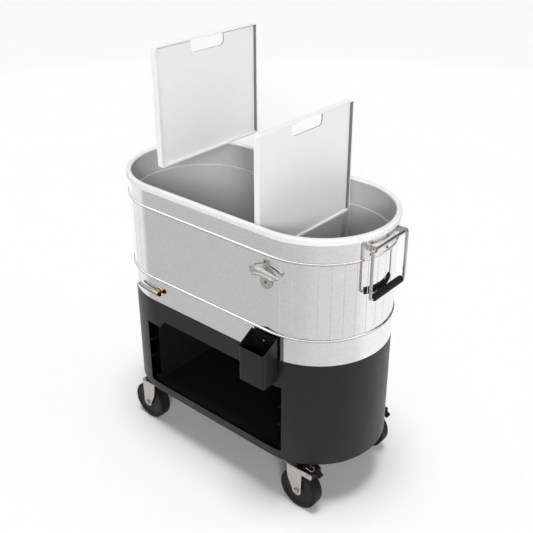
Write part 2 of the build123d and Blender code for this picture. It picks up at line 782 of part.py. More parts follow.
tube_start = drain_x - drain_barrel_half + tube_socket - slip
with BuildPart() as drain_tube:
    with BuildLine(Plane.XY.offset(drain_level)) as tube_path:
        Line((tube_start, drain_axis_y), (-half_straight, drain_axis_y))
        CenterArc((-half_straight, 0), -drain_axis_y, -90, -tube_turn)
    with BuildSketch(Plane(origin=tube_path.line @ 0, z_dir=tube_path.line % 0)):
        Circle(tube_radius)
        Circle(tube_radius - tube_wall, mode=Mode.SUBTRACT)
    sweep()
save(drain_tube, "drain_tube")

barrel_right = Plane(origin=(drain_x + drain_barrel_half, drain_axis_y, drain_level), z_dir=(1, 0, 0))
with BuildPart() as drain_knob:
    with BuildSketch(barrel_right.offset(-knob_stem)):
        Circle(knob_stem_radius)
    extrude(amount=knob_stem + moving_gap)
    with BuildSketch(barrel_right.offset(moving_gap)):
        Circle(knob_radius)
    extrude(amount=knob_height)
    with BuildSketch(barrel_right.offset(moving_gap + knob_height)):
        Rectangle(knob_wing, 2 * knob_radius - knob_wing)
    extrude(amount=knob_height)
save(drain_knob, "drain_knob")

# Casters: a stem-mounted swivel head, a pressed fork, an axle bolt, a hub and a tyre
crown_under = fork_crown - fork_sheet
head_bottom = fork_crown + swivel_gap
cap_bottom = base_bottom - slip - swivel_cap_sheet
for place_x, place_y in caster_places:
    out = 1 if place_x > 0 else -1
    wheel_x = place_x + out * caster_trail
    caster = ("front" if place_y < 0 else "rear") + ("_right" if out > 0 else "_left")
    braked = out > 0

    with BuildPart() as swivel_head:
        with BuildSketch(Plane.XY.offset(cap_bottom)):
            with Locations((place_x, place_y)):
                Circle(swivel_cap_radius)
        extrude(amount=swivel_cap_sheet)
        with BuildSketch(Plane.XY.offset(head_bottom)):
            with Locations((place_x, place_y)):
                Circle(race_radius)
        extrude(amount=cap_bottom - head_bottom, taper=-15)
        with BuildSketch(Plane.XY.offset(crown_under - swivel_gap)):
            with Locations((place_x, place_y)):
                Circle(king_pin_radius)
        extrude(amount=head_bottom - crown_under + swivel_gap)
        with BuildSketch(Plane.XY.offset(crown_under - swivel_gap)):
            with Locations((place_x, place_y)):
                Circle(king_pin_head_radius)
        extrude(amount=-king_pin_head_height)
        with BuildSketch(Plane.XY.offset(base_bottom - slip)):
            with Locations((place_x, place_y)):
                Circle(stem_radius)
        extrude(amount=stem_length)
    save(swivel_head, f"{caster}_swivel_head")

    with BuildPart() as fork:
        for leg_side in (1, -1):
            with BuildSketch(Plane.XZ.offset(-place_y + leg_side * (fork_inner + fork_sheet / 2))):
                with BuildLine():
                    CenterArc((wheel_x, wheel_radius), fork_end_radius, 0, 360)
                    Polyline(
                        (place_x - out * leg_heel, leg_knee),
                        (place_x - out * leg_heel, fork_crown),
                        (place_x + out * fork_toe, fork_crown),
                    )
                make_hull()
                if braked:
                    arm_middle = (fork_toe + brake_arm_end) / 2 - fork_end_radius
                    arm_length = brake_arm_end - fork_toe + 2 * fork_end_radius
                    with Locations((place_x + out * arm_middle, fork_crown - brake_arm_height / 2)):
                        Rectangle(arm_length, brake_arm_height)
                    with Locations((place_x + out * brake_pivot_out, brake_pivot_height)):
                        Circle(brake_pin_radius + running, mode=Mode.SUBTRACT)
                with Locations((wheel_x, wheel_radius)):
                    Circle(axle_radius + running, mode=Mode.SUBTRACT)
            extrude(amount=fork_sheet / 2, both=True)
        with BuildSketch(Plane.XY.offset(crown_under)) as crown:
            with Locations((place_x + out * (fork_toe - fork_heel) / 2, place_y)):
                Rectangle(fork_toe + fork_heel, 2 * fork_outer)
            heel_corners = crown.vertices().sort_by(Axis.X, reverse=out < 0)[:2]
            fillet(heel_corners, radius=fork_heel_round)
            with Locations((place_x, place_y)):
                Circle(king_pin_radius + running, mode=Mode.SUBTRACT)
        extrude(amount=fork_sheet)
    save(fork, f"{caster}_fork")

    with BuildPart() as axle:
        with BuildSketch(Plane.XZ.offset(-place_y - fork_outer - axle_head_height)):
            with Locations((wheel_x, wheel_radius)):
                Circle(axle_radius)
        extrude(amount=2 * (fork_outer + axle_head_height))
        for end_side in (1, -1):
            with BuildSketch(Plane.XZ.offset(-place_y + end_side * (fork_outer + slip))):
                with Locations((wheel_x, wheel_radius)):
                    RegularPolygon(axle_head_flat, 6, major_radius=False)
            extrude(amount=end_side * axle_head_height)
    save(axle, f"{caster}_axle")

    wheel_plane = Plane.XZ.offset(-place_y)
    with BuildPart() as hub:
        with BuildSketch(wheel_plane):
            with Locations((wheel_x, wheel_radius)):
                Circle(rim_radius - curve_gap)
        extrude(amount=hub_web / 2, both=True)
        with BuildSketch(wheel_plane):
            with Locations((wheel_x, wheel_radius)):
                Circle(rim_radius - curve_gap)
                Circle(rim_radius - curve_gap - hub_rim, mode=Mode.SUBTRACT)
        extrude(amount=wheel_width / 2, both=True)
        with BuildSketch(wheel_plane):
            with Locations((wheel_x, wheel_radius)):
                Circle(hub_radius)
        extrude(amount=hub_length / 2, both=True)
        with BuildSketch(wheel_plane):
            with Locations((wheel_x, wheel_radius)):
                Circle(axle_radius + running)
        extrude(amount=hub_length, both=True, mode=Mode.SUBTRACT)
    save(hub, f"{caster}_hub")

    with BuildPart() as tyre:
        with BuildSketch(wheel_plane):
            with Locations((wheel_x, wheel_radius)):
                Circle(wheel_radius)
                Circle(rim_radius, mode=Mode.SUBTRACT)
        extrude(amount=wheel_width / 2, both=True)
        tread_rims = [face.outer_wire().edges() for face in tyre.faces().filter_by(Axis.Y)]
        fillet(tread_rims[0] + tread_rims[1], radius=tyre_round)
    save(tyre, f"{caster}_tyre")

    if braked:
        boss_half = fork_inner - moving_gap
        pivot_out_x = place_x + out * brake_pivot_out
        pedal_line = (
            (place_x + out * pedal_start, pedal_start_height),
            (place_x + out * pedal_end, pedal_end_height),
            (place_x + out * (pedal_end + pedal_tab_reach), pedal_end_height - pedal_tab_drop),
        )
        pedal_spans = (
            (pedal_line[0], pedal_line[1], pedal_half),
            (pedal_line[1], pedal_line[2], pedal_tab_half),
        )
        with BuildPart() as brake_pedal:
            for start, end, half_width in pedal_spans:
                with BuildSketch(wheel_plane):
                    with BuildLine():
                        Polyline(
                            start,
                            end,
                            (end[0], end[1] - pedal_sheet),
                            (start[0], start[1] - pedal_sheet),
                            close=True,
                        )
                    make_face()
                extrude(amount=half_width, both=True)
            with BuildSketch(wheel_plane):
                with Locations((pivot_out_x, brake_pivot_height)):
                    Circle(pedal_boss_radius)
                with Locations((pivot_out_x + out * shoe_out, brake_pivot_height - shoe_drop / 2)):
                    Rectangle(2 * shoe_half, shoe_drop)
            extrude(amount=boss_half, both=True)
            with BuildSketch(wheel_plane):
                with Locations((pivot_out_x, brake_pivot_height + pedal_boss_radius)):
                    Rectangle(2 * pedal_boss_radius, 2 * pedal_boss_radius)
            extrude(amount=pedal_half, both=True)
            with BuildSketch(wheel_plane):
                with Locations((pivot_out_x, brake_pivot_height)):
                    Circle(brake_pin_radius)
            extrude(amount=fork_outer, both=True)
        save(brake_pedal, f"{caster}_brake_pedal")

# Nuts on the caster stems, above the pan
with BuildPart() as caster_nuts:
    with BuildSketch(Plane.XY.offset(pan_top + slip)):
        with Locations(*caster_places):
            RegularPolygon(stem_nut_flat, 6, major_radius=False)
            Circle(stem_radius + running, mode=Mode.SUBTRACT)
    extrude(amount=stem_nut_height)
save(caster_nuts, "caster_nuts")
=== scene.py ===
# %% [markdown]
# # A patio cooler in Blender
# The solids of the cooler come from CAD as a fixed frame: every node is already where it belongs, in
# metres, with X along the tub, the open shelf towards -Y and Z up. This lesson dresses that frame. Plain
# flat sheets keep their CAD mesh and only get a finish. Curved and shiny pieces are modelled again,
# because CAD meshes are loose triangles that would show as facets in a polished wall.

# %% Load the frame
import json
from math import atan2, cos, degrees, pi, radians, sin

import bmesh
import bpy
from mathutils import Matrix, Vector


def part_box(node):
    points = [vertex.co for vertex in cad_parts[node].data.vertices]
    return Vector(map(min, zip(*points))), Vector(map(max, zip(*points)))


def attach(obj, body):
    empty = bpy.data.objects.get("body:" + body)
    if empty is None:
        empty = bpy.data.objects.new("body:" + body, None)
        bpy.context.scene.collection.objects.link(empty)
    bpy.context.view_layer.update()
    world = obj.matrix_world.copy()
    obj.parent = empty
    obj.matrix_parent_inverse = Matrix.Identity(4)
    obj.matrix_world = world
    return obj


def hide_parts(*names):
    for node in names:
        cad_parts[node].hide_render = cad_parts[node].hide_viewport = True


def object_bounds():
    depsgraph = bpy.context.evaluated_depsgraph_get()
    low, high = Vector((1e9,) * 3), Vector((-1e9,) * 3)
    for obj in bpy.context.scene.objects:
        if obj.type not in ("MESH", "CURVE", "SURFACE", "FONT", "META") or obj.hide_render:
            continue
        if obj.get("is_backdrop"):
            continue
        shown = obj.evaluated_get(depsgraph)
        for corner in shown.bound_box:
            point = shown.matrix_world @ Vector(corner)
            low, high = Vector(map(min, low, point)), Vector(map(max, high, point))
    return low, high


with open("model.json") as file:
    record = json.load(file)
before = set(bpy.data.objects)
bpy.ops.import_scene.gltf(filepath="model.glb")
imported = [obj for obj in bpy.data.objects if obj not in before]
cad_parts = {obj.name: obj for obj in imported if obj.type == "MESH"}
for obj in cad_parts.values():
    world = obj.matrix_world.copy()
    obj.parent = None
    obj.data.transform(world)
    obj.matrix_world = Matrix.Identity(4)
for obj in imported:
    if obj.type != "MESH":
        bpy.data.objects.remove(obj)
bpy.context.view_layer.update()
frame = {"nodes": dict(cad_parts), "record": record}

# %% [markdown]
# ## The camera
# The photograph looks down on the right front corner with a normal lens. The camera's place and lens were
# worked out from the oval rim, the hoops and the wheels. The lens shift stands for the photograph being
# cropped a little off its own centre.

# %% Camera
look_down, heading = 26.2, 40.2
camera_data = bpy.data.cameras.new("photo_camera")
camera_data.lens = 54.42
camera_data.sensor_width = 36.0
camera_data.shift_x = -0.0087
camera_data.shift_y = -0.0632
camera = bpy.data.objects.new("photo_camera", camera_data)
camera.location = (1.4046, -1.5971, 1.7676)
camera.rotation_euler = (radians(90 - look_down), 0, radians(heading))
bpy.context.scene.collection.objects.link(camera)
bpy.context.scene.camera = camera
bpy.context.scene.view_settings.view_transform = "Standard"
print("camera at", camera.location)

# %% [markdown]
# ## The studio floor
# A product picture like this one is taken on a white floor. The floor fills the whole frame, so its own
# colour makes the white background, and it still takes the cooler's soft shadow.

# %% Studio floor
MM = 0.001
floor_size, floor_drop = 60, 0.3 * MM


def clear_selection():
    """Leave edit mode and select nothing."""
    if bpy.context.mode != "OBJECT":
        bpy.ops.object.mode_set(mode="OBJECT")
    bpy.ops.object.select_all(action="DESELECT")


clear_selection()
bpy.ops.mesh.primitive_plane_add(size=floor_size, location=(0, 0, -floor_drop))
floor = bpy.context.object
floor.name = "studio_floor"
floor_finish = bpy.data.materials.new("studio_floor")
floor_finish.use_nodes = True
floor_shader = floor_finish.node_tree.nodes["Principled BSDF"]
floor_shader.inputs["Base Color"].default_value = (0.9, 0.9, 0.9, 1)
floor_shader.inputs["Roughness"].default_value = 0.7
floor_shader.inputs["Specular IOR Level"].default_value = 0.1
floor.data.materials.append(floor_finish)
floor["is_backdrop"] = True
print("floor", floor.dimensions)

# %% [markdown]
# ## Sky
# A little light comes from everywhere, so no side is black. The camera sees the sky nearly white, like
# the background of the photograph. Mirrors see it nearly black, so that polished metal shows only the
# ring and the band that are made for it below. The Light Path node tells these rays apart, and a chain of
# Mix Shader nodes picks the sky for each.

# %% Sky
world = bpy.data.worlds.new("studio_sky")
bpy.context.scene.world = world
world.use_nodes = True
sky = world.node_tree
sky_light = sky.nodes["Background"]
sky_seen = sky.nodes.new("ShaderNodeBackground")
sky_mirrored = sky.nodes.new("ShaderNodeBackground")
for shade, strength in ((sky_light, 0.2), (sky_seen, 0.95), (sky_mirrored, 0.04)):
    shade.inputs["Color"].default_value = (1, 1, 1, 1)
    shade.inputs["Strength"].default_value = strength
rays = sky.nodes.new("ShaderNodeLightPath")
chosen = sky_light.outputs[0]
for kind, other in (("Is Glossy Ray", sky_mirrored), ("Is Camera Ray", sky_seen)):
    choice = sky.nodes.new("ShaderNodeMixShader")
    sky.links.new(rays.outputs[kind], choice.inputs["Fac"])
    sky.links.new(chosen, choice.inputs[1])
    sky.links.new(other.outputs[0], choice.inputs[2])
    chosen = choice.outputs[0]
sky.links.new(chosen, sky.nodes["World Output"].inputs["Surface"])
print("sky", sky_light.inputs["Strength"].default_value)

# %% [markdown]
# ## Three soft suns
# The shadow in the photograph stays close under the stand, so the main light is a wide one from straight
# above. The white panels are bright although they stand upright, so a second, low light comes from behind
# the camera, where its shadow hides behind the cooler. A third, weak and very wide, lifts the right end.
# Mirrors don't show these suns.

# %% Suns
def add_sun(name, azimuth, elevation, strength, spread):
    """A soft sun seen from the floor's middle at that azimuth (from +X towards +Y) and elevation."""
    sun_data = bpy.data.lights.new(name, "SUN")
    sun_data.energy = strength
    sun_data.angle = radians(spread)
    sun = bpy.data.objects.new(name, sun_data)
    flat = cos(radians(elevation))
    source = Vector((flat * cos(radians(azimuth)), flat * sin(radians(azimuth)), sin(radians(elevation))))
    sun.rotation_euler = source.to_track_quat("Z", "Y").to_euler()
    sun.visible_glossy = False
    bpy.context.scene.collection.objects.link(sun)
    print(name, strength)


add_sun("ceiling_sun", -50, 86, 2.1, 22)
add_sun("camera_sun", -48, 19, 2.0, 16)
add_sun("right_sun", 22, 4, 0.6, 60)

# %% [markdown]
# ## A toned ring for the polished wall
# Polished metal shows what stands around it. In the photograph the front wall is an even grey and the
# ends turn almost white, so the side of the room behind the camera was grey. A ring on the floor carries
# that tone for mirrors only: it is hidden from the camera, casts no shadow and lights nothing.

# %% Toned ring
def glow_by_azimuth(name, tones, strength=1.0):
    """A glow whose tone changes with the azimuth round the cooler, given in degrees."""
    finish = bpy.data.materials.new(name)
    finish.use_nodes = True
    tree = finish.node_tree
    tree.nodes.remove(tree.nodes["Principled BSDF"])
    place = tree.nodes.new("ShaderNodeTexCoord")
    angle = tree.nodes.new("ShaderNodeTexGradient")
    angle.gradient_type = "RADIAL"
    ramp = tree.nodes.new("ShaderNodeValToRGB")
    ramp.color_ramp.interpolation = "EASE"
    stops = ramp.color_ramp.elements
    stops.remove(stops[0])
    for azimuth, tone in tones.items():
        stops.new(0.5 + azimuth / 360).color = (tone, tone, tone, 1)
    stops.remove(stops[len(stops) - 1])
    glow = tree.nodes.new("ShaderNodeEmission")
    glow.inputs["Strength"].default_value = strength
    tree.links.new(place.outputs["Object"], angle.inputs["Vector"])
    tree.links.new(angle.outputs["Fac"], ramp.inputs["Fac"])
    tree.links.new(ramp.outputs["Color"], glow.inputs["Color"])
    tree.links.new(glow.outputs[0], tree.nodes["Material Output"].inputs["Surface"])
    return finish


def keep_for_mirrors(thing):
    """Hide a studio thing from everything but mirrors."""
    thing.visible_camera = False
    thing.visible_diffuse = False
    thing.visible_shadow = False
    thing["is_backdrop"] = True


ring_inner, ring_outer, ring_level = 0.62, 5.0, 0.5 * MM
ring_tones = {
    -180: 0.86, -157: 0.84, -145: 0.53, -110: 0.54, -75: 0.58, -40: 0.68, -6: 0.74, 20: 0.95, 180: 0.95}
clear_selection()
bpy.ops.mesh.primitive_circle_add(
    vertices=96, radius=ring_outer, fill_type="NGON", location=(0, 0, ring_level))
ring = bpy.context.object
ring.name = "toned_ring"
bpy.ops.object.transform_apply()
bpy.ops.object.mode_set(mode="EDIT")
bpy.ops.mesh.select_all(action="SELECT")
bpy.ops.mesh.inset(thickness=ring_outer - ring_inner)
bpy.ops.mesh.delete(type="FACE")
clear_selection()
ring.data.materials.append(glow_by_azimuth("toned_ring", ring_tones))
keep_for_mirrors(ring)
print("ring", ring.dimensions)

# %% [markdown]
# ## A glowing band for the highlights
# Rods, hoops and small castings need something bright to mirror. A glowing band stands round the cooler
# above the ring, from the left over the front to the right, and leaves the room behind the cooler dark.
# It could be a few lamps, but one band has no gaps, so a rod shows one unbroken line. Like the ring, it
# is there for mirrors only.

# %% Glowing band
band_radius, band_height, band_middle = 2.6, 3.3, 3.15
band_tones = {-180: 0.0, -172: 1.0, 40: 1.0, 52: 0.0, 180: 0.0}
clear_selection()
bpy.ops.mesh.primitive_cylinder_add(
    vertices=96, radius=band_radius, depth=band_height, end_fill_type="NOTHING", location=(0, 0, band_middle))
band = bpy.context.object
band.name = "soft_band"
bpy.ops.object.transform_apply()
band.data.materials.append(glow_by_azimuth("soft_band", band_tones, strength=1.5))
keep_for_mirrors(band)
print("band", band.dimensions)

# %% [markdown]
# ## Finishes
# A real surface is never one flat colour. Each finish here mixes two close colours by a soft cloud
# pattern, lets the same clouds change the roughness a little, and adds a fine grain as bump. All patterns
# read Object coordinates, so they stay on the piece when it moves.

# %% Finish maker
def make_finish(name, colours, roughness, metallic=0.0, shine=0.5, patch=35.0, grain=900.0, bump=0.03):
    """A finish that varies between two colours and two roughness values, with a fine grain."""
    finish = bpy.data.materials.new(name)
    finish.use_nodes = True
    tree = finish.node_tree
    shader = tree.nodes["Principled BSDF"]
    shader.inputs["Metallic"].default_value = metallic
    shader.inputs["Specular IOR Level"].default_value = shine
    place = tree.nodes.new("ShaderNodeTexCoord")
    mapping = tree.nodes.new("ShaderNodeMapping")
    clouds = tree.nodes.new("ShaderNodeTexNoise")
    clouds.inputs["Scale"].default_value = patch
    clouds.inputs["Detail"].default_value = 4
    fine = tree.nodes.new("ShaderNodeTexNoise")
    fine.inputs["Scale"].default_value = grain
    colour = tree.nodes.new("ShaderNodeMix")
    colour.data_type = "RGBA"
    colour.inputs["A"].default_value = (*colours[0], 1)
    colour.inputs["B"].default_value = (*colours[1], 1)
    gloss = tree.nodes.new("ShaderNodeMapRange")
    gloss.inputs["From Min"].default_value = 0.3
    gloss.inputs["From Max"].default_value = 0.7
    gloss.inputs["To Min"].default_value = roughness[0]
    gloss.inputs["To Max"].default_value = roughness[1]
    relief = tree.nodes.new("ShaderNodeBump")
    relief.inputs["Strength"].default_value = bump
    relief.inputs["Distance"].default_value = 0.4 * MM
    tree.links.new(place.outputs["Object"], mapping.inputs["Vector"])
    tree.links.new(mapping.outputs["Vector"], clouds.inputs["Vector"])
    tree.links.new(mapping.outputs["Vector"], fine.inputs["Vector"])
    tree.links.new(clouds.outputs["Fac"], colour.inputs["Factor"])
    tree.links.new(clouds.outputs["Fac"], gloss.inputs["Value"])
    tree.links.new(fine.outputs["Fac"], relief.inputs["Height"])
    tree.links.new(colour.outputs["Result"], shader.inputs["Base Color"])
    tree.links.new(gloss.outputs["Result"], shader.inputs["Roughness"])
    tree.links.new(relief.outputs["Normal"], shader.inputs["Normal"])
    return finish


def grey(low, high, warm=0.0):
    """Two greys for a finish; warm takes a little blue out."""
    return [(value, value * (1 - warm / 2), value * (1 - warm)) for value in (low, high)]


# %% Plain finishes
chrome = make_finish("polished_chrome", grey(0.9, 0.96, 0.02), (0.05, 0.11), metallic=1.0, bump=0.01)
bail_chrome = make_finish("bail_chrome", grey(0.5, 0.6, 0.07), (0.06, 0.12), metallic=1.0, bump=0.01)
plate_chrome = make_finish("plate_chrome", grey(0.86, 0.92, 0.04), (0.3, 0.38), metallic=1.0, bump=0.01)
white_rim = make_finish("white_rim", grey(0.72, 0.77), (0.34, 0.42), shine=0.3, grain=700, bump=0.02)
grey_liner = make_finish(
    "grey_liner", grey(0.46, 0.52), (0.42, 0.52), shine=0.3, patch=60, grain=500, bump=0.06)
white_panel = make_finish("white_divider", grey(0.8, 0.84), (0.4, 0.48), shine=0.4, grain=500, bump=0.04)
black_coat = make_finish(
    "black_powder_coat", grey(0.009, 0.012), (0.36, 0.44), shine=0.3, grain=1400, bump=0.08)
black_bin = make_finish("black_bin_coat", grey(0.006, 0.009), (0.3, 0.38), shine=0.3, grain=1400, bump=0.06)
shaded_white = make_finish("shaded_white", grey(0.2, 0.24), (0.5, 0.6), shine=0.1, grain=500, bump=0.04)
foam_finish = make_finish("insulation_foam", [(0.8, 0.75, 0.6), (0.86, 0.82, 0.7)], (0.8, 0.9), bump=0.3)
black_rubber = make_finish("black_rubber", grey(0.008, 0.012), (0.45, 0.58), shine=0.12, grain=700, bump=0.1)
grip_rubber = make_finish("grip_rubber", grey(0.005, 0.008), (0.38, 0.46), shine=0.2, grain=900, bump=0.06)
black_plastic = make_finish("black_plastic", grey(0.007, 0.01), (0.34, 0.44), shine=0.15, bump=0.05)
zinc = make_finish("zinc_plate", grey(0.44, 0.5, 0.05), (0.2, 0.3), metallic=1.0, patch=90, bump=0.03)
bright_steel = make_finish("bright_steel", grey(0.34, 0.42, 0.04), (0.16, 0.26), metallic=1.0, bump=0.02)
cast_metal = make_finish(
    "cast_opener", grey(0.56, 0.64, 0.06), (0.38, 0.48), metallic=1.0, patch=160, bump=0.05)
brass = make_finish("brass", [(0.56, 0.44, 0.22), (0.66, 0.54, 0.3)], (0.22, 0.34), metallic=1.0, bump=0.03)
tube_steel = make_finish("tube_steel", grey(0.36, 0.44), (0.2, 0.3), metallic=1.0, bump=0.03)
print(len(bpy.data.materials), "materials")

# %% [markdown]
# ## Galvanised steel
# Hot-dip zinc leaves spangle: flat crystals a few millimetres across, each a little lighter or darker
# than the next. A Voronoi pattern gives each crystal its own shade, which multiplies the large faint
# clouds of the plain finish. The wall is still polished enough to mirror the handle, so the roughness
# stays low.

# %% Galvanised finish
def multiply_colour(finish, shade):
    """Multiply a finish's colour by a shade from another node."""
    tree = finish.node_tree
    colour = tree.nodes["Principled BSDF"].inputs["Base Color"]
    mix = tree.nodes.new("ShaderNodeMix")
    mix.data_type = "RGBA"
    mix.blend_type = "MULTIPLY"
    mix.inputs["Factor"].default_value = 1.0
    tree.links.new(colour.links[0].from_socket, mix.inputs["A"])
    tree.links.new(shade, mix.inputs["B"])
    tree.links.new(mix.outputs["Result"], colour)


galvanised = make_finish(
    "galvanised_steel", grey(0.9, 0.96), (0.05, 0.09), metallic=1.0, patch=14, bump=0.012)
zinc_tree = galvanised.node_tree
spangle = zinc_tree.nodes.new("ShaderNodeTexVoronoi")
spangle.inputs["Scale"].default_value = 150
crystal_shade = zinc_tree.nodes.new("ShaderNodeMapRange")
crystal_shade.inputs["To Min"].default_value = 0.95
crystal_shade.inputs["To Max"].default_value = 1.03
zinc_tree.links.new(zinc_tree.nodes["Mapping"].outputs["Vector"], spangle.inputs["Vector"])
zinc_tree.links.new(spangle.outputs["Color"], crystal_shade.inputs["Value"])
multiply_colour(galvanised, crystal_shade.outputs["Result"])
print("galvanised finish with", len(zinc_tree.nodes), "nodes")

# %% [markdown]
# ## A finish for every node
# The record gives each CAD node a material slot. Every node gets its finish here; most are replaced by a
# modelled piece later, and the folded sheets, the guides and the hidden nuts keep their CAD mesh.

# %% Finishes by slot
slot_finishes = {
    "galvanised_steel": galvanised, "bright_hoop": chrome, "white_rim": white_rim, "grey_liner": grey_liner,
    "insulation_foam": foam_finish, "white_divider": white_panel, "black_paint": black_coat,
    "black_bin": black_bin, "cast_opener": cast_metal, "bright_screws": bright_steel,
    "bright_bail": bail_chrome, "black_grip": grip_rubber, "drain_brass": brass, "drain_rubber": black_rubber,
    "drain_steel": tube_steel, "black_knob": black_plastic, "swivel_black": black_plastic, "fork_steel": zinc,
    "hub_black": black_plastic, "tyre_rubber": black_rubber, "pedal_black": black_plastic,
}
slot_of = {entry["node"]: entry["material_slot"] for entry in frame["record"]["subparts"]}
bodies = frame["record"]["behaviour"]["bodies"]
body_of = {node: body for body, nodes in bodies.items() for node in nodes}
for name, node in frame["nodes"].items():
    node.data.materials.clear()
    node.data.materials.append(slot_finishes[slot_of[name]])

# %% [markdown]
# ## Working by hand in code
# Every piece below starts from a primitive and is shaped in edit mode. Operators act on what is selected,
# so a small helper selects vertices, edges or faces by their place. A finished piece is smoothed, gets
# its finish, rides on a CAD body and takes the place of its CAD node, which is hidden.

# %% Helpers for every piece
def pick(piece, kind, rule):
    """Select, in edit mode, the vertices, edges or faces whose middle the rule accepts."""
    bpy.ops.mesh.select_mode(type=kind)
    bpy.ops.mesh.select_all(action="DESELECT")
    mesh = bmesh.from_edit_mesh(piece.data)
    mesh.normal_update()
    items = {"VERT": mesh.verts, "EDGE": mesh.edges, "FACE": mesh.faces}[kind]
    count = 0
    for item in items:
        points = [item.co] if kind == "VERT" else [corner.co for corner in item.verts]
        middle = sum(points, Vector()) / len(points)
        if rule(middle, item):
            item.select_set(True)
            count += 1
    mesh.select_flush_mode()
    bmesh.update_edit_mesh(piece.data)
    return count


def apply_modifier(piece, kind, **settings):
    """Add a modifier with these settings and apply it."""
    clear_selection()
    piece.select_set(True)
    bpy.context.view_layer.objects.active = piece
    modifier = piece.modifiers.new(kind.lower(), kind)
    for key, value in settings.items():
        setattr(modifier, key, value)
    bpy.ops.object.modifier_apply(modifier=modifier.name)


def face_outwards():
    """Turn all the normals of the open piece outwards."""
    bpy.ops.mesh.select_all(action="SELECT")
    bpy.ops.mesh.normals_make_consistent(inside=False)


# %% Finishing a piece
def finish_piece(piece, node, angle=35):
    """Smooth a piece, give it its finish, and set it on its body in place of its CAD node."""
    clear_selection()
    piece.select_set(True)
    bpy.context.view_layer.objects.active = piece
    bpy.ops.object.shade_smooth_by_angle(angle=radians(angle))
    apply_modifier(piece, "WEIGHTED_NORMAL", keep_sharp=True, weight=100)
    if not piece.data.materials:
        piece.data.materials.append(slot_finishes[slot_of[node]])
    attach(piece, body_of[node])
    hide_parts(node)
    print(piece.name, len(piece.data.polygons), "faces")


# %% [markdown]
# ## The oval
# The tub, its hoops, its rim and the stand's skirt all follow one oval: two half circles joined by
# straight runs. A potter would pull a template round it. Here a profile is drawn point by point at the
# front of the right end, spun half a turn, pulled along the back, spun again and pulled home.

# %% Drawing and sweeping a profile
half_straight = 226 * MM
wall = 216.0


def draw_chain(name, places, closed=False):
    """Start from a plane merged to one point and extrude that point from place to place."""
    clear_selection()
    bpy.ops.mesh.primitive_plane_add(size=MM, location=places[0])
    piece = bpy.context.object
    piece.name = name
    bpy.ops.object.transform_apply()
    bpy.ops.object.mode_set(mode="EDIT")
    bpy.ops.mesh.select_mode(type="VERT")
    bpy.ops.mesh.select_all(action="SELECT")
    bpy.ops.mesh.merge(type="CENTER")
    for start, end in zip(places, places[1:]):
        step = Vector(end) - Vector(start)
        bpy.ops.mesh.extrude_vertices_move(TRANSFORM_OT_translate={"value": step})
    if closed:
        ends = (Vector(places[0]), Vector(places[-1]))
        pick(piece, "VERT", lambda middle, item: min((middle - end).length for end in ends) < 0.001 * MM)
        bpy.ops.mesh.edge_face_add()
    return piece


def draw_profile(name, points, closed=False):
    """Draw a profile of (radius, height) points, in millimetres, at the front of the right end."""
    return draw_chain(name, [(half_straight, -radius * MM, height * MM) for radius, height in points], closed)


def sweep_oval(steps):
    """Carry the drawn profile round the oval and close it on itself."""
    bpy.ops.mesh.select_all(action="SELECT")
    for side in (1, -1):
        bpy.ops.mesh.spin(steps=steps, angle=pi, center=(side * half_straight, 0, 0), axis=(0, 0, -1))
        run = (-side * 2 * half_straight, 0, 0)
        bpy.ops.mesh.extrude_region_move(TRANSFORM_OT_translate={"value": run})
    bpy.ops.mesh.select_all(action="SELECT")
    bpy.ops.mesh.remove_doubles(threshold=0.01 * MM)
    bpy.ops.mesh.normals_make_consistent(inside=False)


# %% [markdown]
# ## Tub shell
# The galvanised tub is one sheet, creased on its round ends so that it looks like a tub of staves. The
# wall is swept in very narrow columns, and the columns at the seams are pushed in. Solidify gives the
# sheet its thickness.

# %% Tub shell
deck_level, wall_top = 502.0, 874.9
stave_low, stave_high, stave_fade = 588.0, 804.0, 2.0
shell_sheet, shell_fold = 1.5, 1.2
seam_pitch, seam_depth = 9.0, 1.3
first_seams = {1: 10.2, -1: 4.5}

shell = draw_profile("tub_shell_wall", [
    (wall - shell_fold, deck_level), (wall, deck_level + shell_fold), (wall, stave_low - stave_fade),
    (wall, stave_low), (wall, stave_high), (wall, stave_high + stave_fade), (wall, wall_top)])
sweep_oval(600)


def on_seam(middle, item):
    """True for a point of the stave wall that is on one of the seams."""
    if not stave_low - 1 < middle.z / MM < stave_high + 1:
        return False
    angle = degrees(atan2(abs(middle.x) - half_straight, -middle.y))
    first = first_seams[1 if middle.x > 0 else -1]
    turns = (angle - first) / seam_pitch
    return abs(middle.x) > half_straight and turns > -0.01 and abs(turns - round(turns)) < 0.01


seam_points = pick(shell, "VERT", on_seam)
bpy.ops.transform.shrink_fatten(value=-seam_depth * MM)
pick(shell, "EDGE", lambda middle, item: item.is_boundary and middle.z < (deck_level + 1) * MM)
bpy.ops.mesh.edge_face_add()
face_outwards()
apply_modifier(shell, "SOLIDIFY", thickness=shell_sheet * MM, offset=-1)
finish_piece(shell, "tub_shell", angle=25)
print("seam points", seam_points)

# %% [markdown]
# ## Hoops
# Two bright half-round hoops bind the tub. Each is a half circle of points with a flat back, swept round
# the oval. The bright line along the front and the dark ends are mirror images of the band and of the
# dark room. Little light reaches the crease under a hoop, so painted shade darkens the finish where the
# surface faces down.

# %% Hoop finish
hoop_tree = chrome.node_tree
# Painted shade: the hoop's colour is multiplied darker where its surface normal faces down.
facing = hoop_tree.nodes.new("ShaderNodeSeparateXYZ")
painted_underside_shade = hoop_tree.nodes.new("ShaderNodeMapRange")
for socket, value in (("From Min", -0.55), ("From Max", -0.1), ("To Min", 0.06)):
    painted_underside_shade.inputs[socket].default_value = value
hoop_tree.links.new(hoop_tree.nodes["Texture Coordinate"].outputs["Normal"], facing.inputs[0])
hoop_tree.links.new(facing.outputs["Z"], painted_underside_shade.inputs["Value"])
multiply_colour(chrome, painted_underside_shade.outputs["Result"])
print("hoop finish with", len(hoop_tree.nodes), "nodes")

# %% Hoops
hoop_levels = {"lower_hoop": 582.0, "upper_hoop": 810.0}


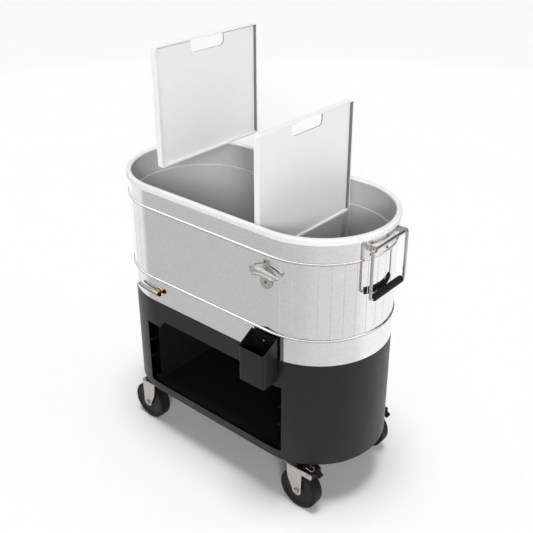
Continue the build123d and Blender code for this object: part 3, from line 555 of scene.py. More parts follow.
def half_round(level, inner=wall + 0.1, stand=3.9, half_height=4.0, count=10):
    """Points of a half-round band at a level, from its lower back edge to its upper one."""
    turns = [pi * (index / count - 0.5) for index in range(count + 1)]
    return [(inner + stand * cos(turn), level + half_height * sin(turn)) for turn in turns]


for name, level in hoop_levels.items():
    hoop = draw_profile(f"{name}_band", half_round(level), closed=True)
    sweep_oval(120)
    finish_piece(hoop, name, angle=50)

# %% [markdown]
# ## Rim
# The white rim is a rounded channel that caps the shell and the liner. Its cross-section is drawn with
# sharp corners, filled for a moment so that the corners can be rounded by a vertex bevel, and then swept.

# %% Rim
def round_corner(piece, radius, height, size, segments=6):
    """Round one corner of a filled profile."""
    corner = Vector((half_straight, -radius * MM, height * MM))
    pick(piece, "VERT", lambda middle, item: (middle - corner).length < 0.01 * MM)
    bpy.ops.mesh.bevel(offset=size * MM, affect="VERTICES", segments=segments)


seat = wall + 0.2
rim_inner, rim_outer = 205.3, 221.0
rim_top, rim_rest, rim_hem = 881.0, 875.0, 864.0
top_round, hem_round = 4.5, 1.0
rim = draw_profile("rim_channel", [
    (rim_inner, rim_rest), (rim_inner, rim_top), (rim_outer, rim_top), (rim_outer, rim_hem), (seat, rim_hem),
    (seat, rim_rest)], closed=True)
bpy.ops.mesh.select_all(action="SELECT")
bpy.ops.mesh.edge_face_add()
round_corner(rim, rim_inner, rim_top, top_round)
round_corner(rim, rim_outer, rim_top, top_round)
round_corner(rim, rim_outer, rim_hem, hem_round, segments=3)
bpy.ops.mesh.select_all(action="SELECT")
bpy.ops.mesh.delete(type="ONLY_FACE")
sweep_oval(120)
finish_piece(rim, "rim_trim", angle=50)

# %% [markdown]
# ## Liner
# The grey liner is a moulded cup with a small ledge below its rim. The inside face is drawn and swept,
# the floor is filled and its edge rounded, and Solidify adds the wall on the hidden side. The cup's
# normals point into the tub, so an offset of -1 puts the thickness outside, and the dividers keep their
# room.

# %% Liner
tub_floor, ledge_level, liner_top = 525.7, 800.0, wall_top - 0.1
liner_inner, ledge_inner, flange_outer = 203.5, 206.0, 214.2
ledge_round, floor_round, liner_sheet = 0.8, 4.0, 2.4
liner = draw_profile("liner_cup", [
    (liner_inner, tub_floor), (liner_inner, ledge_level - ledge_round),
    (liner_inner + ledge_round, ledge_level), (ledge_inner - ledge_round, ledge_level),
    (ledge_inner, ledge_level + ledge_round), (ledge_inner, liner_top), (flange_outer, liner_top)])
sweep_oval(120)


def at_floor(middle, item):
    """True at the level of the tub's floor."""
    return abs(middle.z / MM - tub_floor) < 0.01


pick(liner, "EDGE", at_floor)
bpy.ops.mesh.edge_face_add()
pick(liner, "EDGE", at_floor)
bpy.ops.mesh.bevel(offset=floor_round * MM, segments=4, affect="EDGES")
face_outwards()
apply_modifier(liner, "SOLIDIFY", thickness=liner_sheet * MM, offset=-1)
finish_piece(liner, "tub_liner", angle=40)

# %% [markdown]
# ## Stand skirt
# The stand is one black sheet bent round the same oval, with the shelf opening cut in its front. The wall
# is swept with rows at the opening's levels; bisecting adds the upright and slanting cuts, and the faces
# inside are deleted.

# %% Stand skirt
skirt_low, skirt_top, skirt_sheet = 164.0, 501.9, 1.2
fold_in, fold_down, edge_round = 0.8, 1.0, 0.35
bay_half, bay_sill, bay_tab, bay_top = 270.0, 191.0, 412.0, 438.0
slant_half, slant_run = 212.0, 24.0
skirt = draw_profile("stand_skirt", [
    (wall, skirt_low), (wall, bay_sill), (wall, bay_tab), (wall, bay_top), (wall, skirt_top - fold_down),
    (wall - fold_in, skirt_top)])
sweep_oval(120)


def in_front(middle, item):
    """True on the front wall at the height of the shelf opening."""
    return middle.y < -0.15 and bay_sill < middle.z / MM < bay_top


for side in (1, -1):
    pick(skirt, "FACE", in_front)
    bpy.ops.mesh.bisect(plane_co=(side * bay_half * MM, 0, 0), plane_no=(1, 0, 0))
    pick(skirt, "FACE", lambda middle, item: in_front(middle, item) and middle.z / MM > bay_tab)
    slant = Vector((side * slant_run, 0, bay_tab - bay_top)).normalized()
    slant_start = Vector((side * slant_half, 0, bay_tab)) * MM
    bpy.ops.mesh.bisect(plane_co=slant_start, plane_no=slant.cross(Vector((0, 1, 0))))
pick(skirt, "FACE", lambda middle, item: in_front(middle, item)
     and abs(middle.x / MM) < (bay_half if middle.z / MM < bay_tab else slant_half - slant_run))
bpy.ops.mesh.delete(type="FACE")
face_outwards()
apply_modifier(skirt, "SOLIDIFY", thickness=skirt_sheet * MM, offset=-1)
apply_modifier(
    skirt, "BEVEL", width=edge_round * MM, segments=2, limit_method="ANGLE", angle_limit=radians(50))
finish_piece(skirt, "base_skirt")

# %% [markdown]
# ## Blocks, discs and lathe work
# The smaller pieces start from boxes and discs, or are turned like table legs: a half profile is drawn
# beside an axis and spun once round it. Sizes are in millimetres, as on a workshop drawing.

# %% Blocks, discs and lathe
def open_piece(name):
    """Name the new primitive, set its place into its mesh and open it for editing."""
    piece = bpy.context.object
    piece.name = name
    bpy.ops.object.transform_apply()
    bpy.ops.object.mode_set(mode="EDIT")
    return piece


def add_block(name, low, high):
    """A box between two corners."""
    clear_selection()
    low, high = Vector(low) * MM, Vector(high) * MM
    bpy.ops.mesh.primitive_cube_add(size=1, location=(low + high) / 2, scale=high - low)
    return open_piece(name)


def add_disc(name, middle, radius, depth, axis, sides=48):
    """A cylinder along X, Y or Z."""
    clear_selection()
    turn = {"X": (0, pi / 2, 0), "Y": (pi / 2, 0, 0), "Z": (0, 0, 0)}[axis]
    bpy.ops.mesh.primitive_cylinder_add(
        vertices=sides, radius=radius * MM, depth=depth * MM, location=Vector(middle) * MM, rotation=turn)
    return open_piece(name)


def lathe(name, middle, axis, points, steps=64, closed=True):
    """Spin a profile of (radius, place along the axis) points once round an axis."""
    radial = Vector((0, 0, 1)) if axis == "X" else Vector((1, 0, 0))
    along = {"X": Vector((1, 0, 0)), "Y": Vector((0, 1, 0)), "Z": Vector((0, 0, 1))}[axis]
    middle = Vector(middle)
    places = [(middle + radial * radius + along * place) * MM for radius, place in points]
    piece = draw_chain(name, places, closed)
    bpy.ops.mesh.select_all(action="SELECT")
    bpy.ops.mesh.spin(steps=steps, angle=2 * pi, center=middle * MM, axis=along)
    bpy.ops.mesh.select_all(action="SELECT")
    bpy.ops.mesh.remove_doubles(threshold=0.005 * MM)
    bpy.ops.mesh.normals_make_consistent(inside=False)
    return piece


# %% Joining, copying and cutting
def join_pieces(*pieces):
    """Join pieces into the first one."""
    clear_selection()
    for piece in pieces:
        piece.select_set(True)
    bpy.context.view_layer.objects.active = pieces[0]
    bpy.ops.object.join()
    return pieces[0]


def hull_of(*pieces):
    """Join pieces and wrap them in one convex hull."""
    whole = join_pieces(*pieces)
    bpy.ops.object.mode_set(mode="EDIT")
    bpy.ops.mesh.select_all(action="SELECT")
    bpy.ops.mesh.convex_hull()
    return whole


def copy_piece(piece, name, change):
    """Copy a piece with its own mesh, and move the copy by a matrix."""
    clear_selection()
    piece.select_set(True)
    bpy.context.view_layer.objects.active = piece
    bpy.ops.object.duplicate()
    copy = bpy.context.object
    copy.name = name
    copy.matrix_world = change
    bpy.ops.object.transform_apply()
    return copy


def cut_away(piece, *cutters):
    """Cut pieces out of another one and delete them."""
    for cutter in cutters:
        apply_modifier(piece, "BOOLEAN", object=cutter, operation="DIFFERENCE", solver="EXACT")
        bpy.data.objects.remove(cutter)


def soften(piece, width, segments=2, angle=40):
    """Round every sharp edge a little, as any made edge is."""
    apply_modifier(
        piece, "BEVEL", width=width * MM, segments=segments, limit_method="ANGLE", angle_limit=radians(angle))


def node_box(node):
    """The two corners of a CAD node in millimetres."""
    low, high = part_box(node)
    return low / MM, high / MM


# %% [markdown]
# ## Dividers
# Each divider is a moulded white panel: a thin web in a deeper frame, with a hand slot under its top
# edge. A box gets round corners, both faces are inset and pushed in, and the slot is cut through. The
# inset is as wide as the corners are round, so their points fall together there, and they are merged
# before the web is inset again. The strip that this leaves, the inside of the frame and the slot's edge
# lie in shadow and take a darker finish.

# %% Shaded corners of a divider
frame_width, web_sheet, shade_width = 5.0, 3.0, 4.0
shade_depth, slack = 0.6, 0.1


def shaded_corner(low, high, recess):
    """A rule for the faces in the corner between a divider's frame and its web, but not at its foot."""
    middle_x = (low.x + high.x) / 2
    depth = web_sheet / 2 + recess * shade_depth
    side, top = high.y - frame_width + slack, high.z - frame_width + slack
    foot = low.z + frame_width - slack + shade_width

    def rule(middle, item):
        x, y, z = abs(middle.x / MM - middle_x), abs(middle.y / MM), middle.z / MM
        on_web = y < side - shade_width - 1 and foot + 1 < z < top - shade_width - 1
        in_corner = x < depth and y < side and foot < z < top
        return in_corner and not (on_web and abs(item.normal.x) > 0.9)

    return rule


def shade_selected(piece):
    """Give a piece both white finishes, the shaded one on its selected faces."""
    for finish in (white_panel, shaded_white):
        piece.data.materials.append(finish)
    piece.active_material_index = 1
    bpy.ops.object.material_slot_assign()


# %% Dividers
panel_corner, merge_reach = 5.0, 0.8
slot_half, slot_height, slot_corner, slot_spare = 65.0, 36.0, 14.0, 5.0
for name in ("left_divider", "right_divider"):
    low, high = node_box(name)
    middle_x = (low.x + high.x) / 2
    recess = (high.x - low.x - web_sheet) / 2
    panel = add_block(f"{name}_panel", low, high)
    pick(panel, "EDGE", lambda middle, item: abs(middle.x / MM - middle_x) < 0.01)
    bpy.ops.mesh.bevel(offset=panel_corner * MM, segments=5, affect="EDGES")
    for side in (1, -1):
        pick(panel, "FACE", lambda middle, item: item.normal.x * side > 0.9)
        bpy.ops.mesh.inset(thickness=frame_width * MM)
        bpy.ops.mesh.extrude_region_move(TRANSFORM_OT_translate={"value": (-side * recess * MM, 0, 0)})
    bpy.ops.mesh.select_all(action="SELECT")
    bpy.ops.mesh.remove_doubles(threshold=merge_reach * MM)
    for side in (1, -1):
        pick(panel, "FACE", lambda middle, item: (middle.x / MM - middle_x) * side < web_sheet
             and item.normal.x * side > 0.9)
        bpy.ops.mesh.inset(thickness=shade_width * MM)
    print(name, "shaded faces", pick(panel, "FACE", shaded_corner(low, high, recess)))
    shade_selected(panel)
    slot_top = high.z - frame_width
    slot_low = (low.x - slot_spare, -slot_half, slot_top - slot_height)
    slot = add_block("hand_slot", slot_low, (high.x + slot_spare, slot_half, slot_top))
    pick(slot, "EDGE", lambda middle, item: abs(middle.x / MM - middle_x) < 0.01
         and middle.z / MM < slot_top - 1)
    bpy.ops.mesh.bevel(offset=slot_corner * MM, segments=8, affect="EDGES")
    bpy.ops.mesh.select_all(action="SELECT")
    shade_selected(slot)
    cut_away(panel, slot)
    soften(panel, 0.7)
    finish_piece(panel, name)

# %% [markdown]
# ## Screws
# A pan-head screw is a domed head with a cross recess on a short shank. It is modelled once for each size,
# and copies are turned to face out of the wall and set through the opener and the two handle plates. One
# more stands a little off the wall and carries the cap catcher.

# %% Screws
head_round, cross_arm, cross_half, cross_depth = 1.5, 2.9, 0.9, 1.9


def make_screw(name, head_radius, clamped, head_height=2.6, shank_radius=2.4, reach=6.0):
    """A screw along Z whose shank enters the wall at the origin."""
    screw = add_disc(name, (0, 0, clamped + head_height / 2), head_radius, head_height, "Z", sides=32)
    pick(screw, "FACE", lambda middle, item: item.normal.z < -0.9)
    bpy.ops.mesh.inset(thickness=(head_radius - shank_radius) * MM)
    down = (0, 0, -(reach + clamped) * MM)
    bpy.ops.mesh.extrude_region_move(TRANSFORM_OT_translate={"value": down})
    top = clamped + head_height
    pick(screw, "EDGE", lambda middle, item: abs(middle.z / MM - top) < 0.01)
    bpy.ops.mesh.bevel(offset=head_round * MM, segments=5, affect="EDGES")
    for x, y in ((cross_arm, cross_half), (cross_half, cross_arm)):
        cut_away(screw, add_block("recess", (-x, -y, top - cross_depth), (x, y, top + 1)))
    return screw


def set_screws(node, places, head_radius, clamped):
    """Set copies of a screw at (place, outward direction) pairs and join them into one piece."""
    model = make_screw(f"{node}_model", head_radius, clamped)
    copies = []
    for place, outward in places:
        turn = Vector(outward).to_track_quat("Z", "Y").to_matrix().to_4x4()
        copies.append(copy_piece(model, f"{node}_set", Matrix.Translation(Vector(place) * MM) @ turn))
    bpy.data.objects.remove(model)
    finish_piece(join_pieces(*copies), node)


def end_place(side, angle, radius, level):
    """A place on an end of the oval; the angle runs from the front tangent round to the back."""
    turn = radians(angle)
    return (side * (half_straight / MM + radius * sin(turn)), -radius * cos(turn), level)


# %% Screws in place
opener_x, opener_screw_levels = 222.0, (793.0, 732.0)
catcher_x, catcher_screw_level = 218.0, 551.0
handle_screw_angles, handle_screw_levels = (74, 90, 106), (822, 856)
forwards = (0, -1, 0)
opener_places = [((opener_x, -wall, level), forwards) for level in opener_screw_levels]
catcher_places = [((catcher_x, -wall, catcher_screw_level), forwards)]
handle_places = [
    (end_place(side, angle, wall, level), (side * sin(radians(angle)), -cos(radians(angle)), 0))
    for side in (1, -1) for level in handle_screw_levels for angle in handle_screw_angles]
set_screws("opener_screws", opener_places, head_radius=4.2, clamped=4.3)
set_screws("catcher_screw", catcher_places, head_radius=4.7, clamped=7.6)
set_screws("handle_screws", handle_places, head_radius=4.2, clamped=2.8)

# %% [markdown]
# ## Bottle opener
# The opener is one casting: a back plate, an arched hood like a small porch roof, and a tooth under it
# that lifts the cap. The plate is the hull of two discs. The hood is bridged from a wide arch at the wall
# to a narrower, lower one at its lip, and bows out a little between them, which gives it the bright band
# of a cast surface.

# %% Opener plate
opener_sheet = 4.0
plate_reach = seat + opener_sheet / 2
lug_radii = (8, 20)
lugs = [add_disc("opener_plate", (opener_x, -plate_reach, level), radius, opener_sheet, "Y")
        for level, radius in zip(opener_screw_levels, lug_radii)]
opener = hull_of(*lugs)
print("opener plate over", len(lugs), "lugs")


# %% Opener hood and tooth
def arch_places(reach, half, top, rise, wall_sheet, count=24):
    """An arch band seen from the front: its roof from left to right, then its underside back."""
    shares = [2 * index / count - 1 for index in range(count + 1)]
    roof = [(opener_x + half * share, top - rise * share ** 2) for share in shares]
    inner = half - wall_sheet / 2
    under = [(opener_x - inner * share, top - wall_sheet - rise * share ** 2) for share in shares]
    return [Vector((x, -reach, level)) * MM for x, level in roof + under]


lip_reach = 244.2
root_places = arch_places(plate_reach, half=44, top=783, rise=16, wall_sheet=8)
lip_places = arch_places(lip_reach, half=30, top=764, rise=7, wall_sheet=4.5)
root = draw_chain("opener_hood", root_places, closed=True)
lip = draw_chain("opener_lip", lip_places, closed=True)
hood = join_pieces(root, lip)
bpy.ops.object.mode_set(mode="EDIT")
bpy.ops.mesh.select_mode(type="EDGE")
bpy.ops.mesh.select_all(action="SELECT")
bpy.ops.mesh.bridge_edge_loops(number_cuts=7, profile_shape="SMOOTH", profile_shape_factor=0.4)
for reach in (plate_reach, lip_reach):
    pick(hood, "EDGE", lambda middle, item: abs(middle.y / MM + reach) < 0.01)
    bpy.ops.mesh.edge_face_add()
face_outwards()
tooth_half, tooth_reach, tooth_low, tooth_high = 8.0, 9.0, 746.0, 750.0
tooth_root = -seat - opener_sheet
tooth = add_block("opener_tooth", (opener_x - tooth_half, tooth_root - tooth_reach, tooth_low),
                  (opener_x + tooth_half, tooth_root, tooth_high))
join_pieces(opener, hood, tooth)
soften(opener, 1.2, segments=3, angle=35)
finish_piece(opener, "bottle_opener", angle=50)

# %% [markdown]
# ## Cap catcher
# A small open bin hangs on one screw under the opener. A box gets two round front corners, its top is
# removed and cut on a slope, Solidify folds the sheet, and a keyhole and two rubber feet go on the back
# wall.

# %% Cap catcher
bin_left, bin_right, bin_back, bin_front = 173.0, 263.0, -221.0, -278.0
bin_bottom, bin_top, bin_front_top = 438.0, 574.0, 543.0
bin_sheet, bin_corner = 2.0, 9.0
catcher = add_block("cap_bin", (bin_left, bin_front, bin_bottom), (bin_right, bin_back, bin_top))
pick(catcher, "EDGE", lambda middle, item: middle.y / MM < bin_front + 1
     and bin_bottom + 1 < middle.z / MM < bin_top - 1)
bpy.ops.mesh.bevel(offset=bin_corner * MM, segments=8, affect="EDGES")
pick(catcher, "FACE", lambda middle, item: item.normal.z > 0.9)
bpy.ops.mesh.delete(type="FACE")
rim_slope = Vector((0, bin_front_top - bin_top, bin_back - bin_sheet - bin_front)).normalized()
bpy.ops.mesh.select_all(action="SELECT")
slope_start = Vector((0, bin_back - bin_sheet, bin_top)) * MM
bpy.ops.mesh.bisect(plane_co=slope_start, plane_no=rim_slope, clear_outer=True)
apply_modifier(catcher, "SOLIDIFY", thickness=bin_sheet * MM, offset=-1)
print("bin", catcher.dimensions)

# %% Keyhole and feet of the catcher
keyhole_wide, keyhole_narrow, keyhole_drop, cutter_half = 5.2, 2.9, 12.0, 4.0
keyhole_low = catcher_screw_level - keyhole_drop
low_middle, high_middle = [(catcher_x, bin_back, level) for level in (keyhole_low, catcher_screw_level)]
slit_low = (catcher_x - keyhole_narrow, bin_back - cutter_half, keyhole_low)
slit_high = (catcher_x + keyhole_narrow, bin_back + cutter_half, catcher_screw_level)
cut_away(catcher, add_disc("keyhole", low_middle, keyhole_wide, 2 * cutter_half, "Y", sides=32))
cut_away(catcher, add_block("keyhole", slit_low, slit_high))
cut_away(catcher, add_disc("keyhole", high_middle, keyhole_narrow, 2 * cutter_half, "Y", sides=32))
soften(catcher, 0.6, segments=3)
foot_radius, foot_depth, foot_spread = 6.0, 4.8, 25.0
foot_y, foot_level = -218.7, bin_bottom + 17
feet = []
for side in (1, -1):
    foot_middle = (catcher_x + side * foot_spread, foot_y, foot_level)
    feet.append(add_disc("bin_foot", foot_middle, foot_radius, foot_depth, "Y"))
join_pieces(catcher, *feet)
finish_piece(catcher, "cap_catcher")

# %% [markdown]
# ## Handle plates
# A pressed plate is screwed to each end, under the rim, with two ears that hold the bail. The plate is a
# strip spun part of the way round the end; each ear is the hull of a disc and a block at the plate. The
# plate is satin and the ears are polished like the bail, so each gets its finish before they are joined.

# %% Handle plates
plate_low, plate_high, plate_half, plate_corner = 815.0, 863.0, 84.0, 12.0
plate_inner, plate_outer = seat, seat + 2.5
plate_middle = (plate_inner + plate_outer) / 2
plate_start = 90 - degrees(atan2(plate_half, (plate_middle ** 2 - plate_half ** 2) ** 0.5))
strip = [
    (plate_inner, plate_low), (plate_outer, plate_low), (plate_outer, plate_high), (plate_inner, plate_high)]
plate = draw_chain("handle_plate", [
    Vector(end_place(1, plate_start, radius, level)) * MM for radius, level in strip], closed=True)
bpy.ops.mesh.select_all(action="SELECT")
plate_turn = radians(180 - 2 * plate_start)
bpy.ops.mesh.spin(steps=12, angle=plate_turn, center=(half_straight, 0, 0), axis=(0, 0, -1))
for side in (1, -1):
    pick(plate, "EDGE", lambda middle, item: item.is_boundary and middle.y * side > 0)
    bpy.ops.mesh.edge_face_add()
pick(plate, "EDGE", lambda middle, item: abs(middle.y) > (plate_half - 1) * MM
     and min(abs(middle.z / MM - plate_low), abs(middle.z / MM - plate_high)) < 0.01
     and abs(item.verts[0].co.z - item.verts[1].co.z) < 0.01 * MM
     and abs(Vector((middle.x - half_straight, middle.y)).length / MM - plate_middle) < 0.3)
bpy.ops.mesh.bevel(offset=plate_corner * MM, segments=8, affect="EDGES")
face_outwards()
plate.data.materials.append(plate_chrome)
print("handle plate turned by", round(degrees(plate_turn)), "degrees")

# %% Ears of the handle plates
pivot_x, pivot_level = 454.0, 845.0
ear_radius, ear_half, ear_y = 8.0, 2.0, 71.5
ear_root_low, ear_root_high = 430.5, 432.5
ears = []
for side in (1, -1):
    ear_middle = side * ear_y
    disc = add_disc("handle_ear", (pivot_x, ear_middle, pivot_level), ear_radius, 2 * ear_half, "Y")
    root_low = (ear_root_low, ear_middle - ear_half, pivot_level - ear_radius)
    root_high = (ear_root_high, ear_middle + ear_half, pivot_level + ear_radius)
    ear = hull_of(disc, add_block("ear_root", root_low, root_high))
    ear.data.materials.append(bail_chrome)
    ears.append(ear)
plate = join_pieces(plate, *ears)
soften(plate, 0.5)
half_turn = Matrix.Rotation(pi, 4, "Z")
finish_piece(copy_piece(plate, "left_handle_strip", half_turn), "left_handle_plate")
plate.name = "right_handle_strip"
finish_piece(plate, "right_handle_plate")

# %% [markdown]
# ## Bails and grips
# A bail is one bright rod bent into a closed loop that hangs from the ears. A flat rectangle gives the
# path: its corners are rounded, the outline becomes a curve, and the curve's own bevel makes the rod. The
# grip is a ribbed rubber sleeve: a cylinder with every third lengthwise row pressed in.

# %% Bails
bail_half, bail_corner, rod_radius, grip_level = 80.0, 6.0, 4.5, 704.0


def tube_along(path, radius):
    """Turn a drawn path into a round rod."""
    clear_selection()
    path.select_set(True)
    bpy.context.view_layer.objects.active = path
    bpy.ops.object.convert(target="CURVE")
    path.data.bevel_depth = radius * MM
    path.data.bevel_resolution = 6
    bpy.ops.object.convert(target="MESH")
    return path


clear_selection()
bail_middle = Vector((pivot_x, 0, (pivot_level + grip_level) / 2)) * MM
bpy.ops.mesh.primitive_plane_add(size=1, location=bail_middle, rotation=(0, pi / 2, 0))
bpy.context.object.scale = ((pivot_level - grip_level) * MM, 2 * bail_half * MM, 1)
bail = open_piece("bail_loop")
bpy.ops.mesh.select_mode(type="VERT")
bpy.ops.mesh.select_all(action="SELECT")
bpy.ops.mesh.bevel(offset=bail_corner * MM, segments=8, affect="VERTICES")
bpy.ops.mesh.select_all(action="SELECT")
bpy.ops.mesh.delete(type="ONLY_FACE")
bail = tube_along(bail, rod_radius)
print("bail", bail.dimensions)

# %% Grips
grip_half, grip_radius, row_count, row_depth = 66.5, 10.0, 20, 0.9
grip = add_disc("grip_sleeve", (pivot_x, 0, grip_level), grip_radius, 2 * grip_half, "Y", sides=60)
pick(grip, "FACE", lambda middle, item: abs(item.normal.y) > 0.9)
bpy.ops.mesh.inset(thickness=(grip_radius - rod_radius) * MM)
bpy.ops.mesh.delete(type="FACE")


def pressed_row(middle, item):
    """True for every third lengthwise edge of the sleeve."""
    turn = degrees(atan2(middle.x / MM - pivot_x, middle.z / MM - grip_level)) * row_count / 360
    return abs(middle.y) < 0.1 * MM and abs(turn - round(turn)) < 0.05


pick(grip, "EDGE", pressed_row)
bpy.ops.transform.shrink_fatten(value=-row_depth * MM)
soften(grip, 1.2, segments=3, angle=60)
for piece, node in ((bail, "bail"), (grip, "grip")):
    finish_piece(copy_piece(piece, f"left_{piece.name}", half_turn), f"left_{node}", angle=40)
    finish_piece(piece, f"right_{node}", angle=40)

# %% [markdown]
# ## Drain
# At the front left a brass tee comes through the wall. Its barrel and its neck are turned on two axes, a
# steel tube leads the melt water round the end, and a small black knob closes the tap.

# %% Drain body
drain_x, drain_y, drain_level = -206.0, -226.2, 540.7
barrel = lathe("drain_tee", (drain_x, drain_y, drain_level), "X", [
    (5.6, -12), (7.1, -12), (7.5, -11.5), (7.5, -8), (6.8, -7.4), (6.8, -6), (7.5, -5.4), (7.5, 5.4),
    (6.8, 6), (6.8, 7.4), (7.5, 8), (7.5, 11.5), (7.1, 12), (3.1, 12), (3.1, 4), (5.6, -4)])
neck = lathe("drain_neck", (drain_x, 0, drain_level), "Y", [
    (3.5, -195.5), (6.1, -195.5), (6.5, -196), (6.5, -218.3), (11, -218.3), (11, -219.3), (10.5, -219.8),
    (6.5, -219.8), (6.5, -225), (3.5, -225)])
finish_piece(join_pieces(barrel, neck), "drain_body")

# %% Drain tube
tube_radius, tube_sheet, tube_seat = 5.5, 1.2, 4.1
tube_angle, tube_steps = 16, 8
tube_path = [Vector((drain_x - tube_seat, drain_y, drain_level)) * MM]
for step in range(tube_steps + 1):
    turn = radians(tube_angle * step / tube_steps)
    tube_x = -half_straight / MM + drain_y * sin(turn)
    tube_path.append(Vector((tube_x, drain_y * cos(turn), drain_level)) * MM)
tube = tube_along(draw_chain("drain_pipe", tube_path), tube_radius)
apply_modifier(tube, "SOLIDIFY", thickness=tube_sheet * MM, offset=-1)
finish_piece(tube, "drain_tube")

# %% Drain knob
knob_start = drain_x + 12.5
wing_start, wing_end = knob_start + 4, knob_start + 10
wing_half, wing_height, wing_round = 1.5, 5.0, 3.0
knob = lathe("drain_tap", (knob_start, drain_y, drain_level), "X", [
    (0, -7.5), (3, -7.5), (3, 0), (6, 0), (6.5, 0.6), (6.5, 4.4), (6, 5), (0, 5)], closed=False)
wing_low = (wing_start, drain_y - wing_half, drain_level - wing_height)
wing = add_block("tap_wing", wing_low, (wing_end, drain_y + wing_half, drain_level + wing_height))
pick(wing, "EDGE", lambda middle, item: middle.x / MM > wing_end - 1 and abs(middle.y / MM - drain_y) < 0.01)
bpy.ops.mesh.bevel(offset=wing_round * MM, segments=5, affect="EDGES")
knob = join_pieces(knob, wing)
soften(knob, 0.4)
finish_piece(knob, "drain_knob")

# %% [markdown]
# ## Casters: wheels
# Each wheel is a rubber tyre pressed on a black hub. Both are turned: the tyre with round shoulders and a
# flat tread, the hub with a shallow dished face between its rim and its boss. Half a profile is written
# down, and the other half is its mirror image.

# %% Wheels
caster_x, caster_y = 288.0, -174.6
wheel_x, wheel_level = caster_x + 30, 63.5
wheel_middle = (wheel_x, caster_y, wheel_level)
tread_radius, tyre_seat, tyre_half = wheel_level, 51.0, 19.0
shoulder_round, shoulder_steps = 5.0, 6
tyre_profile = [(tyre_seat, tyre_half)]
for step in range(shoulder_steps + 1):
    turn = radians(90 * step / shoulder_steps)
    tyre_profile.append((tread_radius - shoulder_round * (1 - sin(turn)),
                         tyre_half - shoulder_round * (1 - cos(turn))))
tyre_profile += [(tread_radius, 7), (tread_radius, 0)]
tyre_profile += [(radius, -place) for radius, place in reversed(tyre_profile[:-1])]
tyre = lathe("tyre_ring", wheel_middle, "Y", tyre_profile, steps=96)
hub_half = [(5.1, 21), (12.4, 21), (13, 20.4), (13, 18), (15, 16.6), (44, 16.6), (45.6, 17.4), (46.4, 18.4),
            (50.2, 18.8), (50.8, 18.4)]
hub_profile = hub_half + [(radius, -place) for radius, place in reversed(hub_half)]
hub = lathe("wheel_hub", wheel_middle, "Y", hub_profile, steps=96)
print("wheel", tyre.dimensions, hub.dimensions)

# %% [markdown]
# ## Casters: forks
# A fork is pressed from thick sheet: a crown with a round heel, and two legs that narrow towards the
# axle. On the braked casters the legs keep an arm for the pedal. One leg is drawn from the side, filled,
# given its thickness and copied to the other side.

# %% Forks
fork_half, fork_sheet, crown_level = 24.5, 3.0, 149.0
heel_x, leg_x, toe_x, arm_x = caster_x - 30, caster_x - 6, caster_x + 49, caster_x + 83
leg_knee, leg_end, arm_level, end_half = 106.0, 48.0, 131.0, 16.0
knee_round, arm_round, heel_round = 18.0, 4.0, 22.0


def draw_side_view(name, outline, depth):
    """Draw and fill an outline of (x, level) points at one depth."""
    piece = draw_chain(name, [Vector((x, depth, level)) * MM for x, level in outline], closed=True)
    bpy.ops.mesh.select_all(action="SELECT")
    bpy.ops.mesh.edge_face_add()
    return piece


def make_fork(name, braked):
    """A fork over the wheel, with or without brake arms."""
    front = [(toe_x, crown_level)]
    if braked:
        front = [(arm_x, crown_level), (arm_x, arm_level), (toe_x - 1, arm_level)]
    outline = [(leg_x, crown_level), *front, (wheel_x + end_half, wheel_level), (wheel_x + end_half, leg_end),
               (wheel_x - end_half, leg_end), (wheel_x - end_half, wheel_level), (leg_x, leg_knee)]
    leg = draw_side_view(name, outline, caster_y - fork_half)
    pick(leg, "VERT", lambda middle, item: middle.z / MM < leg_end + 1)
    bpy.ops.mesh.bevel(offset=(end_half - 1) * MM, affect="VERTICES", segments=8)
    pick(leg, "VERT", lambda middle, item: abs(middle.x / MM - leg_x) < 0.1 and middle.z / MM < leg_knee + 1)
    bpy.ops.mesh.bevel(offset=knee_round * MM, affect="VERTICES", segments=6)
    pick(leg, "VERT", lambda middle, item: middle.x / MM > arm_x - 1)
    bpy.ops.mesh.bevel(offset=arm_round * MM, affect="VERTICES", segments=4)
    bpy.ops.mesh.select_all(action="SELECT")
    bpy.ops.mesh.extrude_region_move(TRANSFORM_OT_translate={"value": (0, fork_sheet * MM, 0)})
    face_outwards()
    across = Matrix.Translation((0, (2 * fork_half - fork_sheet) * MM, 0))
    other_leg = copy_piece(leg, f"{name}_leg", across)
    crown_low = (heel_x, caster_y - fork_half, crown_level - fork_sheet)
    crown = add_block(f"{name}_crown", crown_low, (toe_x, caster_y + fork_half, crown_level))
    pick(crown, "EDGE", lambda middle, item: middle.x / MM < heel_x + 1
         and abs(middle.z / MM - crown_level + fork_sheet / 2) < 0.01)
    bpy.ops.mesh.bevel(offset=heel_round * MM, segments=8, affect="EDGES")
    fork = join_pieces(leg, other_leg, crown)
    soften(fork, 0.6)
    return fork


plain_fork = make_fork("plain_fork", False)
braked_fork = make_fork("braked_fork", True)
print("forks", plain_fork.dimensions, braked_fork.dimensions)

# %% [markdown]
# ## Casters: axles and swivel heads
# A bolt with a hexagon head at each end carries the wheel. The swivel head is a turned black cap on a
# bright race, with the king pin below the crown and the stem that goes up into the stand.

# %% Axles
axle_radius, axle_spare = 5.0, 4.0
hex_radius, hex_height, hex_crown = 8.1, 5.0, 0.6
hex_reach = fork_half + 2.6
axle = add_disc("axle_bolt", wheel_middle, axle_radius, 2 * (fork_half + axle_spare), "Y", sides=32)
heads = []
for side in (1, -1):
    hex_middle = (wheel_x, caster_y + side * hex_reach, wheel_level)
    head = add_disc("axle_head", hex_middle, hex_radius, hex_height, "Y", sides=6)
    pick(head, "FACE", lambda middle, item: item.normal.y * side > 0.9)
    bpy.ops.mesh.inset(thickness=2 * hex_crown * MM)
    bpy.ops.transform.translate(value=(0, side * hex_crown * MM, 0))
    heads.append(head)
axle = join_pieces(axle, *heads)
soften(axle, 0.3)
print("axle", axle.dimensions)

